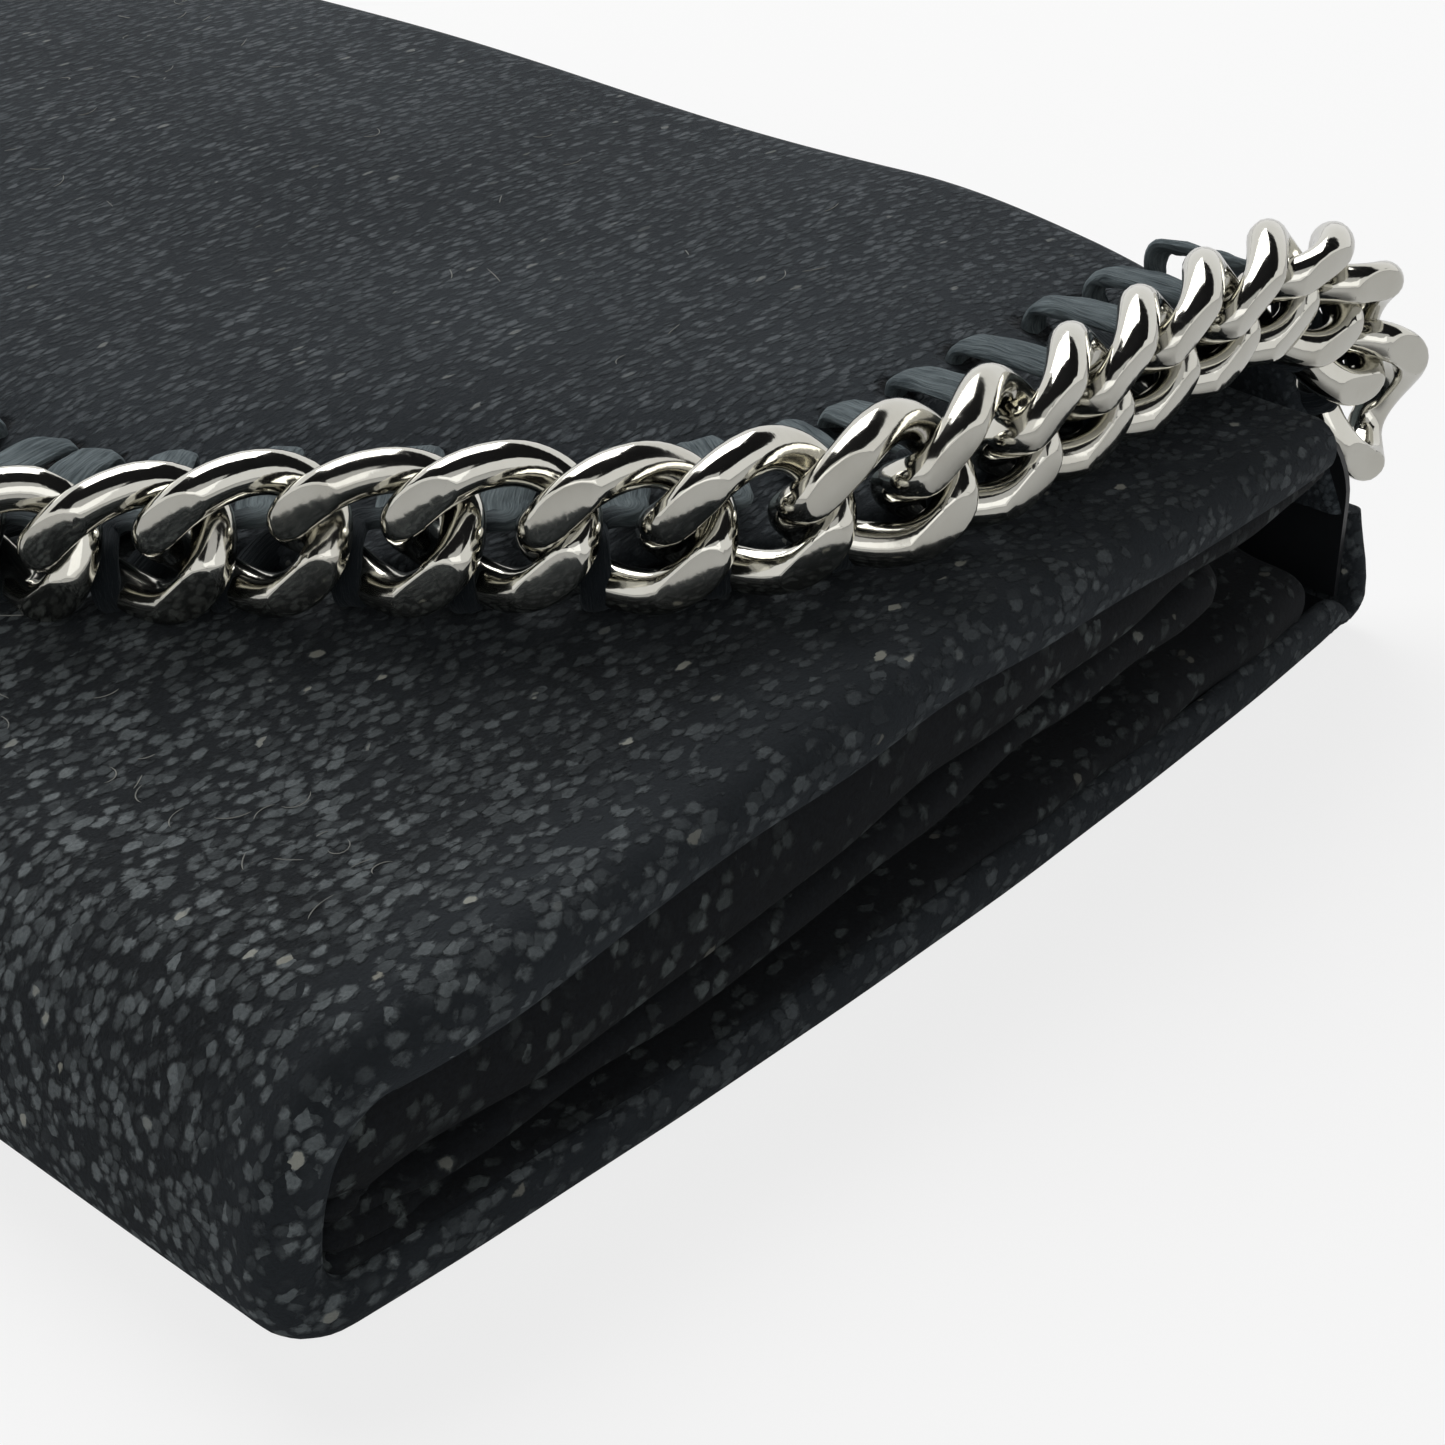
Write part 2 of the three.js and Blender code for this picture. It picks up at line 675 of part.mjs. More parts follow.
// Bellows gusset: a sheet in a W between the front and back linings, with its middle ridge outward
function gussetPath(topZ, bottomZ) {
  const outer = halfLength - gussetEndInset;
  const inner = outer - pleatDepth;
  const height = topZ - bottomZ;
  const bends = [
    [outer, topZ], [inner, topZ - height / 4], [outer, topZ - height / 2],
    [inner, topZ - 3 * height / 4], [outer, bottomZ],
  ].map(([x, z]) => new THREE.Vector2(x, z));
  const roundSteps = 3;
  const path = [bends[0]];
  for (let index = 1; index + 1 < bends.length; index += 1) {
    const here = bends[index];
    const back = bends[index - 1].clone().sub(here).normalize();
    const ahead = bends[index + 1].clone().sub(here).normalize();
    const start = here.clone().addScaledVector(back, pleatBendRadius);
    const end = here.clone().addScaledVector(ahead, pleatBendRadius);
    for (let step = 0; step <= roundSteps; step += 1) {
      const share = step / roundSteps;
      path.push(start.clone().multiplyScalar((1 - share) ** 2)
        .addScaledVector(here, 2 * share * (1 - share))
        .addScaledVector(end, share ** 2));
    }
  }
  path.push(bends[bends.length - 1]);
  return path;
}

function gussetSolid(mirror) {
  const stations = 5;
  const fromY = noseCentreY;
  const toY = mouthY - liningThickness;
  const spacing = gussetThickness / 2 + layerGap;
  const rows = [];
  for (let row = 0; row < stations; row += 1) {
    const y = fromY + (toY - fromY) * row / (stations - 1);
    rows.push({ y, path: gussetPath(frontHeight(y) - liningInset - spacing, liningInset + spacing) });
  }
  const offsetPoint = (side) => (row, column) => {
    const { y, path } = rows[row];
    const before = path[Math.max(column - 1, 0)];
    const after = path[Math.min(column + 1, path.length - 1)];
    const forward = after.clone().sub(before).normalize();
    const x = path[column].x + side * forward.y * gussetThickness / 2;
    const z = path[column].y - side * forward.x * gussetThickness / 2;
    return new THREE.Vector3(mirror * x, y, z);
  };
  return gridSolid(stations, rows[0].path.length, offsetPoint(-mirror), offsetPoint(mirror));
}

addPart('gusset_right', gussetSolid(1), suede);
addPart('gusset_left', gussetSolid(-1), suede);

// Zip pocket: two walls that come together at their ends
const pocketMouthY = walletDepth / 2 - pocketMouthInset;
const pocketFloorY = noseY + pocketFloorInset;
const pocketColumnShares = [-1, -0.94, -0.89, -0.84, 0.84, 0.89, 0.94, 1];

function pocketGap(x) {
  const span = pocketHalfLength - pocketFlatHalfLength;
  const share = THREE.MathUtils.clamp((Math.abs(x) - pocketFlatHalfLength) / span, 0, 1);
  const eased = share * share * (3 - 2 * share);
  return (pocketHollow + (pocketEdgeHollow - pocketHollow) * eased) / 2;
}

function pocketWallSolid(sign) {
  const rowCount = 5;
  const yAt = (row) => pocketFloorY + (pocketMouthY - pocketFloorY) * row / (rowCount - 1);
  const pointAt = (offset) => (row, column) => {
    const x = pocketHalfLength * pocketColumnShares[column];
    return new THREE.Vector3(x, yAt(row), middleHeight(yAt(row)) + sign * (pocketGap(x) + offset));
  };
  const outer = pointAt(pocketWall);
  const inner = pointAt(0);
  return gridSolid(rowCount, pocketColumnShares.length,
    sign > 0 ? outer : inner, sign > 0 ? inner : outer);
}

addPart('pocket_upper_wall', pocketWallSolid(1), lining);
addPart('pocket_lower_wall', pocketWallSolid(-1), lining);

// Floor strip that closes the pocket between its two walls
const floorHeight = pocketHollow - 2 * layerGap;
const pocketFloor = new THREE.BoxGeometry(2 * pocketFlatHalfLength, pocketWall, floorHeight);
pocketFloor.translate(0, pocketFloorY + pocketWall / 2, middleHeight(pocketFloorY));
addPart('pocket_floor', pocketFloor, lining);

// Open zip along the pocket's mouth
const zipZ = middleHeight(pocketMouthY);
const tapeStartY = pocketMouthY + layerGap;
const tapeEndY = tapeStartY + zipTapeWidth;
const teethStartY = tapeEndY + layerGap;

function flatBox(fromX, toX, fromY, toY, fromZ, toZ) {
  const box = new THREE.BoxGeometry(toX - fromX, toY - fromY, toZ - fromZ);
  box.translate((fromX + toX) / 2, (fromY + toY) / 2, (fromZ + toZ) / 2);
  return box;
}

function teethSolid(fromZ) {
  const teeth = Math.floor(2 * zipHalfLength / zipToothPitch);
  const outline = new THREE.Shape();
  const startX = -teeth * zipToothPitch / 2;
  outline.moveTo(startX, teethStartY);
  outline.lineTo(startX + teeth * zipToothPitch, teethStartY);
  for (let tooth = teeth - 1; tooth >= 0; tooth -= 1) {
    const left = startX + tooth * zipToothPitch;
    const rootY = teethStartY + zipSpineWidth;
    const right = left + zipToothPitch;
    const side = (zipToothPitch - zipToothWidth) / 2;
    outline.lineTo(right, rootY);
    outline.lineTo(right - side, rootY);
    outline.lineTo(right - side, rootY + zipToothLength);
    outline.lineTo(left + side, rootY + zipToothLength);
    outline.lineTo(left + side, rootY);
  }
  outline.lineTo(startX, teethStartY + zipSpineWidth);
  const geometry = new THREE.ExtrudeGeometry(outline, { depth: pocketWall, bevelEnabled: false });
  geometry.translate(0, 0, fromZ);
  return geometry;
}

for (const [label, sign] of [['upper', 1], ['lower', -1]]) {
  const nearZ = zipZ + sign * pocketHollow / 2;
  const farZ = nearZ + sign * pocketWall;
  const lowZ = Math.min(nearZ, farZ);
  addPart(`zip_tape_${label}`, flatBox(-zipHalfLength, zipHalfLength, tapeStartY, tapeEndY,
    lowZ, lowZ + pocketWall), tapeFabric);
  addPart(`zip_teeth_${label}`, teethSolid(lowZ), nickel);
}

// Slider: an H-shaped body round both rows, with two ears and a pin for the puller
const teethEndY = teethStartY + zipSpineWidth + zipToothLength;
const sliderFromY = tapeEndY - layerGap * 2;
const sliderToY = sliderFromY + sliderDepth;
const channelHalf = pocketWall / 2 + layerGap;
const sliderHalfHeight = pocketHollow / 2 + pocketWall + layerGap + sliderWall;
const earThickness = 0.8;
const earHalfLength = 1.6;
const earLength = 3.4;
const pinY = sliderToY + earLength - earHalfLength;

function sliderSolid() {
  let body = toManifold(flatBox(sliderRest - sliderLength / 2, sliderRest + sliderLength / 2,
    sliderFromY, sliderToY, zipZ - sliderHalfHeight, zipZ + sliderHalfHeight));
  for (const sign of [1, -1]) {
    const channelZ = zipZ + sign * (pocketHollow + pocketWall) / 2;
    body = body.subtract(toManifold(flatBox(sliderRest - sliderLength, sliderRest + sliderLength,
      sliderFromY - cutOverrun, teethEndY + layerGap, channelZ - channelHalf, channelZ + channelHalf)));
    const earFrom = pullerThickness / 2 + layerGap;
    const earZ = zipZ + sign * (earFrom + earThickness / 2);
    body = body.add(toManifold(flatBox(sliderRest - earHalfLength, sliderRest + earHalfLength,
      sliderToY - sliderWall / 2, sliderToY + earLength, earZ - earThickness / 2,
      earZ + earThickness / 2)));
  }
  const pin = new THREE.CylinderGeometry(pinRadius, pinRadius,
    pullerThickness + 2 * layerGap + earThickness, 16);
  pin.rotateX(Math.PI / 2);
  pin.translate(sliderRest, pinY, zipZ);
  return body.add(toManifold(pin));
}

addPart('zip_slider', toGeometry(sliderSolid()), nickel);

function pullerSolid() {
  const eyeRadius = pullerWidth / 2;
  const outline = new THREE.Shape();
  outline.moveTo(0, -eyeRadius);
  outline.lineTo(pullerLength - eyeRadius, -eyeRadius);
  outline.absarc(pullerLength - eyeRadius, 0, eyeRadius, -Math.PI / 2, Math.PI / 2);
  outline.lineTo(0, eyeRadius);
  outline.absarc(0, 0, eyeRadius, Math.PI / 2, 3 * Math.PI / 2);
  const hole = new THREE.Path();
  hole.absarc(0, 0, pinRadius + layerGap, 0, 2 * Math.PI);
  outline.holes.push(hole);
  const geometry = new THREE.ExtrudeGeometry(outline, {
    depth: pullerThickness, bevelEnabled: false, curveSegments: 8,
  });
  geometry.translate(sliderRest, pinY, zipZ - pullerThickness / 2);
  return geometry;
}

addPart('zip_puller', pullerSolid(), nickel);

// Card leaves on the pocket's upper wall, each tilted up over the next one
const leafCount = 4;
const leafTopY = pocketMouthY - pocketWall;
for (let leaf = 0; leaf < leafCount; leaf += 1) {
  const rearY = leafTopY - leaf * (leafDepth + layerGap);
  const frontY = rearY - leafDepth;
  const baseZ = (y) => middleHeight(y) + pocketHollow / 2 + pocketWall + layerGap;
  const lift = (row) => row * leafTilt;
  const pointAt = (offset) => (row, column) => {
    const y = row === 0 ? frontY : rearY;
    return new THREE.Vector3((2 * column - 1) * leafHalfLength, y, baseZ(y) + lift(row) + offset);
  };
  addPart(`card_leaf_${leaf + 1}`, gridSolid(2, 2, pointAt(leafThickness), pointAt(0)), lining);
}

// Slip pocket on the pocket's lower wall, with a thumb notch in its mouth
function slipPocketSolid() {
  const rearY = leafTopY;
  const baseZ = (y) => middleHeight(y) - pocketHollow / 2 - pocketWall - layerGap;
  const pointAt = (offset) => (row, column) => {
    const y = rearY - slipPocketDepth * (1 - row);
    return new THREE.Vector3((2 * column - 1) * leafHalfLength, y, baseZ(y) + offset);
  };
  const sheet = toManifold(gridSolid(2, 2, pointAt(0), pointAt(-leafThickness)));
  const notch = new THREE.CylinderGeometry(thumbNotchRadius, thumbNotchRadius, noseHeight, 24);
  notch.rotateX(Math.PI / 2);
  notch.translate(0, rearY + thumbNotchRadius / 3, baseZ(rearY));
  return toGeometry(sheet.subtract(toManifold(notch)));
}

addPart('slip_pocket', slipPocketSolid(), lining);

// Snap: a stud on the front panel and a ring under the flap
const snapFoot = bend(0, snapQ, -flapThickness / 2);
const snapUp = bend(0, snapQ, 0).sub(snapFoot).normalize();

const snapSides = 18;

function snapPlaced(geometry) {
  geometry.rotateX(Math.PI / 2);
  const lean = Math.atan2(-snapUp.y, snapUp.z);
  geometry.rotateX(lean);
  geometry.translate(snapFoot.x, snapFoot.y, snapFoot.z);
  return geometry;
}

const socketTop = -layerGap;
const socketProfile = [
  [snapBoreRadius, socketTop - snapSocketThickness], [snapRadius, socketTop - snapSocketThickness],
  [snapRadius, socketTop], [snapBoreRadius, socketTop],
  [snapBoreRadius, socketTop - snapSocketThickness],
].map(([radius, height]) => new THREE.Vector2(radius, height));
addPart('snap_socket', snapPlaced(new THREE.LatheGeometry(socketProfile, snapSides)), nickel);

const studBase = -flapClearance + layerGap;
const studProfile = [
  [0, studBase], [snapRadius, studBase], [snapRadius, studBase + snapBaseThickness],
  [snapNubRadius, studBase + snapBaseThickness],
  [snapNubRadius, studBase + snapBaseThickness + snapNubHeight],
  [0, studBase + snapBaseThickness + snapNubHeight],
].map(([radius, height]) => new THREE.Vector2(radius, height));
addPart('snap_stud', snapPlaced(new THREE.LatheGeometry(studProfile, snapSides)), nickel);

export default wallet;
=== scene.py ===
import json
import math

import bmesh
import bpy
import numpy as np
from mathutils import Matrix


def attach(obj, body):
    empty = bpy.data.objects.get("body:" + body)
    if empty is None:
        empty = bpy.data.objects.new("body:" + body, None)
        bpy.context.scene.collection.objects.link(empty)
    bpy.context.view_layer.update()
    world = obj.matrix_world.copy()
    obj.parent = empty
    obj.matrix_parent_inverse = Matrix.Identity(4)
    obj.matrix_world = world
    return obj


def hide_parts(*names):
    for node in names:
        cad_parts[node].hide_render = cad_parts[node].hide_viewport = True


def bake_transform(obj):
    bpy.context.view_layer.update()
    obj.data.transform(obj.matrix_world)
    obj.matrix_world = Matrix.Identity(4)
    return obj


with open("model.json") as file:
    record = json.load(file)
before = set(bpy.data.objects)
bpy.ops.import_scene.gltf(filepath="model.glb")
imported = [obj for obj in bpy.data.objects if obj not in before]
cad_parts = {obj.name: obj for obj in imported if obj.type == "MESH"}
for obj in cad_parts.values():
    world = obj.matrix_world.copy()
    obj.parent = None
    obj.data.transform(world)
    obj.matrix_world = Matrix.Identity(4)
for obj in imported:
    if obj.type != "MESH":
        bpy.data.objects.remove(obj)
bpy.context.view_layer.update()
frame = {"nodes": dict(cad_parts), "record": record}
print("frame loaded")

mm = 0.001


# shader maths

class Value:
    # one output of a node; + - * / on it add Math nodes, and so do the named methods
    def __init__(self, shader, node, socket):
        self.shader = shader
        self.node = node
        self.socket = socket

    def math(self, operation, *values):
        return self.shader.add("ShaderNodeMath", {"operation": operation}, dict(enumerate(values)))

    def __add__(self, other):
        return self.math("ADD", self, other)

    def __radd__(self, other):
        return self.math("ADD", other, self)

    def __sub__(self, other):
        return self.math("SUBTRACT", self, other)

    def __rsub__(self, other):
        return self.math("SUBTRACT", other, self)

    def __mul__(self, other):
        return self.math("MULTIPLY", self, other)

    def __rmul__(self, other):
        return self.math("MULTIPLY", other, self)

    def __truediv__(self, other):
        return self.math("DIVIDE", self, other)

    def step(self, low, high):
        # smooth step: 0 below low, 1 above high
        return self.shader.add("ShaderNodeMapRange", {"interpolation_type": "SMOOTHSTEP"},
                               {"Value": self, "From Min": low, "From Max": high})

    def output(self, name):
        return Value(self.shader, self.node, self.node.outputs[name])


class Shader:
    # a material or world tree; add() makes any node from its type, settings and sockets
    def __init__(self, owner):
        owner.use_nodes = True
        self.tree = owner.node_tree
        self.tree.nodes.clear()

    def add(self, kind, settings=None, sockets=None, output=0):
        node = self.tree.nodes.new(kind)
        for name, value in (settings or {}).items():
            setattr(node, name, value)
        for name, value in (sockets or {}).items():
            socket = node.inputs[name]
            if isinstance(value, Value):
                self.tree.links.new(value.socket, socket)
            elif isinstance(value, (tuple, list)) and socket.type == "RGBA":
                socket.default_value = (*value, 1)
            else:
                socket.default_value = value
        return Value(self, node, node.outputs[output] if len(node.outputs) else None)

    def mixColour(self, share, first, second):
        return self.add("ShaderNodeMix", {"data_type": "RGBA"},
                        {"Factor": share, 6: first, 7: second}, output=2)

    def noise(self, place, scale, detail=2.0, roughness=0.5):
        return self.add("ShaderNodeTexNoise", {}, {"Vector": place, "Scale": scale,
                                                  "Detail": detail, "Roughness": roughness})

    def cells(self, place, scale, feature="F1"):
        return self.add("ShaderNodeTexVoronoi", {"feature": feature},
                        {"Vector": place, "Scale": scale})

    def mapped(self, place, scale=(1, 1, 1), turn=(0, 0, 0)):
        return self.add("ShaderNodeMapping", {},
                        {"Vector": place, "Scale": scale, "Rotation": turn})

    def shifted(self, place, noise, amount):
        # place moved by up to amount along the noise's colour
        centred = self.add("ShaderNodeVectorMath", {"operation": "SUBTRACT"},
                           {0: noise.output("Color"), 1: (0.5, 0.5, 0.5)})
        scaled = self.add("ShaderNodeVectorMath", {"operation": "SCALE"},
                          {0: centred, "Scale": amount})
        return self.add("ShaderNodeVectorMath", {"operation": "ADD"}, {0: place, 1: scaled})

    def surface(self, sockets, bumps=()):
        # Principled surface; bumps are (height, strength, distance) one over the other
        normal = None
        for height, strength, distance in bumps:
            inputs = {"Height": height, "Strength": strength, "Distance": distance}
            if normal is not None:
                inputs["Normal"] = normal
            normal = self.add("ShaderNodeBump", {}, inputs)
        if normal is not None:
            sockets = {**sockets, "Normal": normal}
        finish = self.add("ShaderNodeBsdfPrincipled", {}, sockets)
        self.add("ShaderNodeOutputMaterial", {}, {"Surface": finish})


def newMaterial(name):
    material = bpy.data.materials.new(name)
    return material, Shader(material)


# finishes

def suedeFinish(name, values, border=False):
    # coated suede: rounded pebbles of coating, each a warped cell with a tone of its own, with dark
    # nap between them; patches of noise thin the coating; patches and the rolled ends are painted
    # hazier as painted sheen, and the pebbles are dimmed towards the back as painted shade
    material, shader = newMaterial(name)
    place = shader.add("ShaderNodeTexCoord", output="Object")
    corner = shader.add("ShaderNodeSeparateXYZ", {}, {"Vector": place})
    stretched = shader.mapped(place, values["stretch"], values["turn"])
    warp = shader.noise(stretched, values["pebbles"] * 0.8, 3)
    warped = shader.shifted(stretched, warp, values["warp"] / values["pebbles"])
    cell = shader.cells(warped, values["pebbles"])
    fine = shader.noise(stretched, values["pebbles"] * 2.4, 3, 0.6)
    pick = shader.add("ShaderNodeSeparateColor", {}, {"Color": cell.output("Color")})
    patches = shader.noise(place, values["patchScale"], 3)
    clouds = shader.noise(place, values["patchScale"] * 6, 2)
    # painted sheen on the rolled ends: their coating is thinned and their nap painted hazier
    rolled = corner.math("ABSOLUTE", corner).step(*values["rolledPlace"]) * values["rolledHaze"]
    # painted light and shade: the pebbles are painted brighter towards the nose, as the light they
    # reflect, and dimmer back towards the flap and chain, as their shade
    depth = corner.output("Y")
    far = depth.step(*values["fadePlace"]) * values["fadeBack"]
    cover = (patches - 0.5) * values["coverSpread"] + (clouds - 0.5) * values["coverSpread"] \
        + values["cover"] - rolled * 0.25
    keep = (cover - pick).step(-0.12, 0.3)
    radius = pick.output("Green") * 0.22 + values["radius"] + (fine - 0.5) * values["ragged"]
    pebble = (radius - cell).step(-0.06, values["softness"])
    nap = shader.noise(stretched, values["pebbles"] * 3.6, 5, 0.72)
    tone = (pick.output("Blue") * 0.8 + 0.2) * (nap * 1.6 + 0.1) * (1 - far)
    pale = pebble * keep * tone
    glint = pick.output("Blue").step(0.986, 0.992) * (radius - 0.2 - cell).step(-0.05, 0.1) \
        * values["glints"]
    dark = shader.mixColour(nap.step(0.32, 0.72), values["deep"], values["base"])
    # painted sheen: the nap is painted paler and hazier in patches and on the rolled ends
    haze = shader.mixColour(patches.step(0.35, 0.75) * values["haze"] + rolled * 0.5, dark,
                            values["hazeColour"])
    colour = shader.mixColour(pale.math("MINIMUM", pale, 1), haze, values["pebbleColour"])
    colour = shader.mixColour(glint, colour, values["glintColour"])
    napHeight = nap
    if border:
        # painted shade of the slots along the border: UV u counts the links, v is the distance from
        # the rim in mm
        uv = shader.add("ShaderNodeSeparateXYZ", {}, {"Vector": shader.add(
            "ShaderNodeTexCoord", output="UV")})
        ragged = shader.noise(place, 900, 3)
        across = (uv.math("FRACT", uv + 0.5) - 0.5) * values["pitch"]
        inset = uv.output("Y")
        lengthwise = (inset - values["slotAt"]) / values["slotHalfDepth"]
        sideways = (across - values["slotShift"]) / values["slotHalfWidth"]
        distance = lengthwise * lengthwise + sideways * sideways + (ragged - 0.5) * 1.6
        slot = 1 - distance.step(0.4, 1.3)
        colour = shader.mixColour(slot, colour, values["slotColour"])
        napHeight = nap - slot * 2.5
    shader.surface({
        "Base Color": colour, "Roughness": 0.95 - pale * values["pebbleGloss"],
        "Sheen Weight": values["sheen"], "Sheen Roughness": 0.5,
        "Sheen Tint": values["sheenTint"], "Specular IOR Level": values["specular"],
    }, [(patches, 0.25, 0.0006), (pebble * keep, values["relief"], 0.00022),
        (napHeight, 0.7, 0.00018)])
    return material


def laceFinish(name, values):
    # napped thong: fibres run along it; UV u is across in mm and v along in mm
    material, shader = newMaterial(name)
    uv = shader.add("ShaderNodeTexCoord", output="UV")
    fibres = shader.noise(shader.mapped(uv, (6.5, 0.5, 1)), 1, 4, 0.65)
    strands = shader.noise(shader.mapped(uv, (1.6, 0.16, 1)), 1, 3, 0.6)
    place = shader.add("ShaderNodeTexCoord", output="Object")
    worn = shader.noise(place, 260, 3)
    tone = fibres * 0.6 + strands * 0.5 + worn * 0.25
    colour = shader.mixColour(tone.step(0.42, 0.95), values["low"], values["high"])
    # painted shade: from 9.2 to 12 mm along each stitch on, where it goes into the link and round
    # its lower wire, the lace is painted dark
    along = shader.add("ShaderNodeSeparateXYZ", {}, {"Vector": uv}).output("Y")
    linkShade = along.step(*values["darkFrom"])
    colour = shader.mixColour(linkShade, colour, values["darkSide"])
    shader.surface({
        "Base Color": colour, "Roughness": 0.95, "Sheen Weight": 0.08, "Sheen Roughness": 0.5,
        "Sheen Tint": (0.75, 0.87, 0.95), "Specular IOR Level": 0.15,
    }, [(strands, 0.8, 0.0005), (fibres, 0.8, 0.0003)])
    return material


def liningFinish(name, values):
    # smooth half-gloss leather with a fine pebble
    material, shader = newMaterial(name)
    place = shader.add("ShaderNodeTexCoord", output="Object")
    grain = shader.cells(place, values["grainScale"], "SMOOTH_F1")
    cloud = shader.noise(place, 90, 3)
    colour = shader.mixColour(cloud.step(0.3, 0.8), values["deep"], values["base"])
    shader.surface({
        "Base Color": colour, "Roughness": values["roughness"] + cloud * 0.14,
        "Specular IOR Level": 0.5,
    }, [(cloud, 0.2, 0.0008), (grain, 0.35, 0.00012)])
    return material


def nickelFinish(name, values):
    # polished plate with faint haze and hairline scratches
    material, shader = newMaterial(name)
    place = shader.add("ShaderNodeTexCoord", output="Object")
    haze = shader.noise(place, 180, 4, 0.6)
    hair = shader.noise(shader.mapped(place, (900, 5200, 2600), (0.3, 0.5, 0.9)), 1, 2)
    spots = shader.noise(place, 1500, 2)
    roughness = values["roughness"] + haze.step(0.4, 0.8) * 0.07 + hair.step(0.58, 0.8) * 0.1 \
        + spots.step(0.66, 0.8) * 0.08
    colour = shader.mixColour(haze.step(0.35, 0.85) * 0.5, values["colour"], values["stain"])
    shader.surface({
        "Base Color": colour, "Metallic": 1.0, "Roughness": roughness,
    }, [(haze, 0.12, 0.0003), (hair, 0.05, 0.00005)])
    return material


def tapeFinish(name, values):
    # woven tape: two crossed waves make the weave
    material, shader = newMaterial(name)
    place = shader.add("ShaderNodeSeparateXYZ", {}, {"Vector": shader.add(
        "ShaderNodeTexCoord", output="Object")})
    turn = 2 * math.pi / values["thread"]
    lengthwise = (place * turn).math("SINE", place * turn)
    depth = place.output("Y")
    crosswise = depth.math("SINE", depth * turn)
    weave = lengthwise * crosswise
    colour = shader.mixColour(weave * 0.5 + 0.5, values["low"], values["high"])
    shader.surface({"Base Color": colour, "Roughness": 0.9, "Specular IOR Level": 0.3},
                   [(weave, 0.5, 0.00015)])
    return material


def boardFinish(name, values):
    # pressed board: short fibres in every direction
    material, shader = newMaterial(name)
    place = shader.add("ShaderNodeTexCoord", output="Object")
    fibres = shader.noise(place, 900, 5, 0.75)
    colour = shader.mixColour(fibres.step(0.3, 0.75), values["low"], values["high"])
    shader.surface({"Base Color": colour, "Roughness": 0.95}, [(fibres, 0.3, 0.0002)])
    return material


suedeValues = {
    "stretch": (1.12, 0.72, 0.9), "turn": (0, 0, 0.15), "pebbles": 1300, "warp": 0.9,
    "patchScale": 42, "cover": 1.0, "coverSpread": 1.0, "softness": 0.26, "radius": 0.50,
    "ragged": 0.5, "relief": 1.0,
    "deep": (0.0012, 0.0019, 0.0026), "base": (0.0135, 0.0170, 0.0200),
    "pebbleColour": (0.150, 0.173, 0.180), "pebbleGloss": 0.5, "glints": 0.7,
    "glintColour": (0.42, 0.42, 0.36), "haze": 0.25, "hazeColour": (0.022, 0.027, 0.032),
    "rolledHaze": 1.0, "rolledPlace": (0.0875, 0.0940), "fadeBack": 0.5,
    "fadePlace": (-0.045, -0.016), "sheen": 0.04, "sheenTint": (0.6, 0.72, 0.85), "specular": 0.25,
}
flapSuedeValues = {
    **suedeValues, "stretch": (1.25, 0.5, 1), "turn": (0, 0, 0.2), "pebbles": 1650, "warp": 0.9,
    "cover": 0.95, "coverSpread": 0.8, "softness": 0.36, "radius": 0.50, "relief": 0.8,
    "deep": (0.0055, 0.0080, 0.0105), "base": (0.0180, 0.0228, 0.0275),
    "pebbleColour": (0.068, 0.082, 0.092), "pebbleGloss": 0.3, "glints": 0.25, "haze": 0.5,
    "hazeColour": (0.030, 0.037, 0.043), "rolledHaze": 0.0, "fadeBack": 0.0, "sheen": 0.06,
    "pitch": 6.9, "slotAt": 9.3, "slotShift": 0.2, "slotHalfDepth": 1.5, "slotHalfWidth": 1.5,
    "slotColour": (0.0008, 0.0010, 0.0014),
}
# the cover's suede, painted darker with fewer pebbles for the recessed bellows: painted shade
gussetSuedeValues = {
    **suedeValues, "stretch": (1, 0.8, 0.7), "pebbles": 1150, "cover": 0.5, "coverSpread": 1.0,
    "deep": (0.0008, 0.0013, 0.0022), "base": (0.0060, 0.0078, 0.0100), "radius": 0.42,
    "pebbleColour": (0.078, 0.092, 0.092), "haze": 0.1, "hazeColour": (0.005, 0.007, 0.010),
    "rolledHaze": 0.0, "fadeBack": 0.0, "glints": 0.25, "sheen": 0.0, "pebbleGloss": 0.2,
    "softness": 0.25,
}
suede = suedeFinish("coatedSuede", suedeValues)
flapSuede = suedeFinish("flapSuede", flapSuedeValues, border=True)
gussetSuede = suedeFinish("gussetSuede", gussetSuedeValues)
laceSuede = laceFinish("laceSuede", {"low": (0.030, 0.042, 0.050), "high": (0.250, 0.300, 0.315),
                                     "darkFrom": (9.2, 12.0), "darkSide": (0.008, 0.011, 0.014)})
lining = liningFinish("glossLining", {"grainScale": 1400, "deep": (0.005, 0.0055, 0.0065),
                                      "base": (0.013, 0.0145, 0.017), "roughness": 0.3})
nickel = nickelFinish("polishedNickel", {"colour": (0.58, 0.57, 0.52), "stain": (0.45, 0.43, 0.37),
                                         "roughness": 0.08})
tape = tapeFinish("zipTape", {"thread": 0.0006, "low": (0.006, 0.006, 0.008),
                              "high": (0.022, 0.023, 0.027)})
board = boardFinish("stiffenerBoard", {"low": (0.09, 0.085, 0.075), "high": (0.20, 0.19, 0.165)})
print("finishes made")


# mesh helpers

